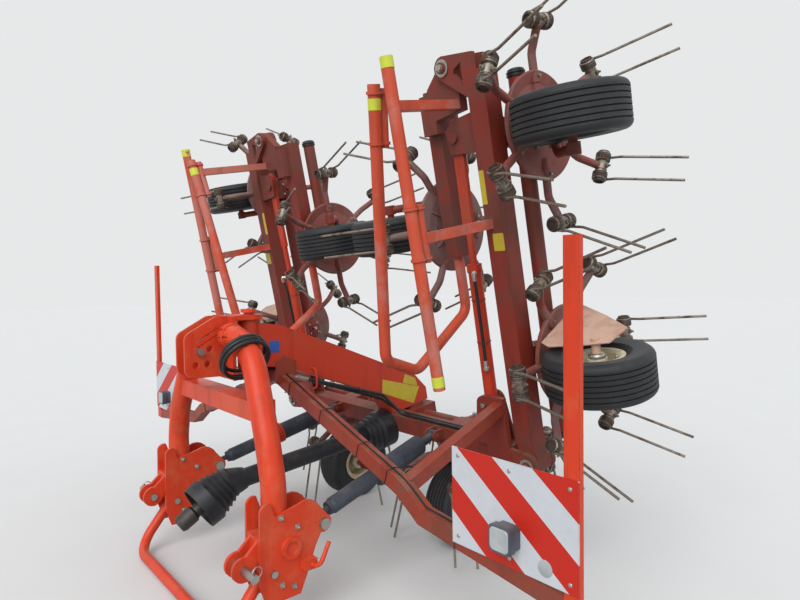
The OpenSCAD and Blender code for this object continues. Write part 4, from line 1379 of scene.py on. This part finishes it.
@dataclass
class Bands:
    """Signal tape round the ends of the guard tubes."""

    finishes: Finishes

    def build(self) -> None:
        """Adds the bands of each section."""
        tape = [(21.0, 0), (21.9, 0.4), (21.9, 36.0), (21.0, 36.4)]
        bands = (
            (Section.WING, (((1312, -315, 515), X), ((2350, -315, 522), X))),
            (Section.OUTER, (((2503, -325, 691.7), (0.982, 0, -0.19)),)),
        )
        for side in Side:
            for section, ends in bands:
                mesher = Mesher(placed(section, side))
                for at, axis in ends:
                    mesher.revolve(at, axis, tape, 32)
                body = section.body(side)
                mesher.piece(f"tape_{body}", body, self.finishes.tape)


# ---------------------------------------------------------------- stage


@dataclass
class Studio:
    """Camera, floor and light."""

    eye: Triple = (2.301, -1.677, 1.201)
    yaw: float = math.radians(-49.89)
    pitch: float = math.radians(2.04)
    roll: float = math.radians(-0.77)
    focal_px: float = 599.5
    image_w: float = 800.0
    reach: float = 30.0
    sky_tone: Triple = (0.92, 0.96, 1.0)
    backdrop: Triple = (0.8, 0.81, 0.815)

    def build(self) -> None:
        """Sets up the whole studio."""
        bpy.context.scene.view_settings.view_transform = "Standard"
        self.camera()
        self.floor()
        self.sky()
        self.lamps()

    def camera(self) -> None:
        """Camera at the photograph's place."""
        level = math.cos(self.pitch)
        ahead = Vector((math.sin(self.yaw) * level, math.cos(self.yaw) * level, -math.sin(self.pitch)))
        right = ahead.cross(Vector(Z)).normalized()
        up = right.cross(ahead)
        c, s = math.cos(self.roll), math.sin(self.roll)
        right, up = right * c + up * s, up * c - right * s
        data = bpy.data.cameras.new("camera")
        data.sensor_width = 36.0
        data.lens = self.focal_px / self.image_w * data.sensor_width
        data.clip_start = 0.05
        obj = bpy.data.objects.new("camera", data)
        turn = Matrix((right, up, -ahead)).transposed().to_4x4()
        obj.matrix_world = Matrix.Translation(self.eye) @ turn
        bpy.context.scene.collection.objects.link(obj)
        bpy.context.scene.camera = obj

    def floor(self) -> None:
        """Pale floor under the machine, that throws less light back than it shows."""
        g = Surface("studio_floor")
        pale = g.mix(g.noise(3.0, 3, 0.5), srgb(220, 220, 219), srgb(224, 224, 223))
        tone = g.mix(g.seen(), srgb(150, 150, 148), pale)
        g.set(Base_Color=tone, Roughness=0.9, Specular_IOR_Level=0.2)
        mesh = bpy.data.meshes.new("floor")
        corners = [(x * self.reach, y * self.reach, 0) for x, y in ((-1, -1), (1, -1), (1, 1), (-1, 1))]
        mesh.from_pydata(corners, [], [(0, 1, 2, 3)])
        mesh.materials.append(g.material)
        obj = bpy.data.objects.new("floor", mesh)
        bpy.context.scene.collection.objects.link(obj)

    def sky(self) -> None:
        """Even light from all round, and a pale backdrop that only shows."""
        world = bpy.data.worlds.new("studio")
        bpy.context.scene.world = world
        g = Graph(world)
        light = g.node("Background", {}, {"Color": colour(self.sky_tone), "Strength": 0.55})
        shown = g.node("Background", {}, {"Color": colour(self.backdrop), "Strength": 1.0})
        mix = g.node("MixShader", {}, {0: g.seen(), 1: light.outputs[0], 2: shown.outputs[0]})
        g.node("OutputWorld", {}, {"Surface": mix.outputs[0]})

    def lamps(self) -> None:
        """Soft key, fill and back light."""
        for name, place, spread, power in (
            ("key", (3.0, -5.0, 4.4), 50.0, 2.2),
            ("fill", (5.5, 3.0, 4.0), 70.0, 0.4),
            ("back", (-5.0, 4.0, 5.0), 70.0, 0.4),
        ):
            data = bpy.data.lights.new(name, "SUN")
            data.angle = math.radians(spread)
            data.energy = power
            obj = bpy.data.objects.new(name, data)
            obj.location = place
            obj.rotation_euler = (-Vector(place)).to_track_quat("-Z", "Y").to_euler()
            bpy.context.scene.collection.objects.link(obj)


def write_sizes() -> None:
    """Brings the placements of all objects up to date."""
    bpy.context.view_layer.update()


def main() -> None:
    """Builds every sub-assembly in order."""
    logging.basicConfig(level=logging.INFO, format="%(name)s: %(message)s")
    Studio().build()
    finishes = Finishes()
    Structure(finishes).build()
    for side in Side:
        for index in range(ROTORS_PER_SIDE):
            Rotor(side, index, finishes).build()
            Wheel(side, index, finishes).build()
        Marker(side, finishes).build()
        Gears(side, finishes).build()
        Hinges(side, finishes).build()
        LiftHose(side, finishes).build()
    Plates(finishes).build()
    BeamHoses(finishes).build()
    Hitch(finishes).build()
    Bands(finishes).build()
    write_sizes()


if __name__ == "__main__":
    main()
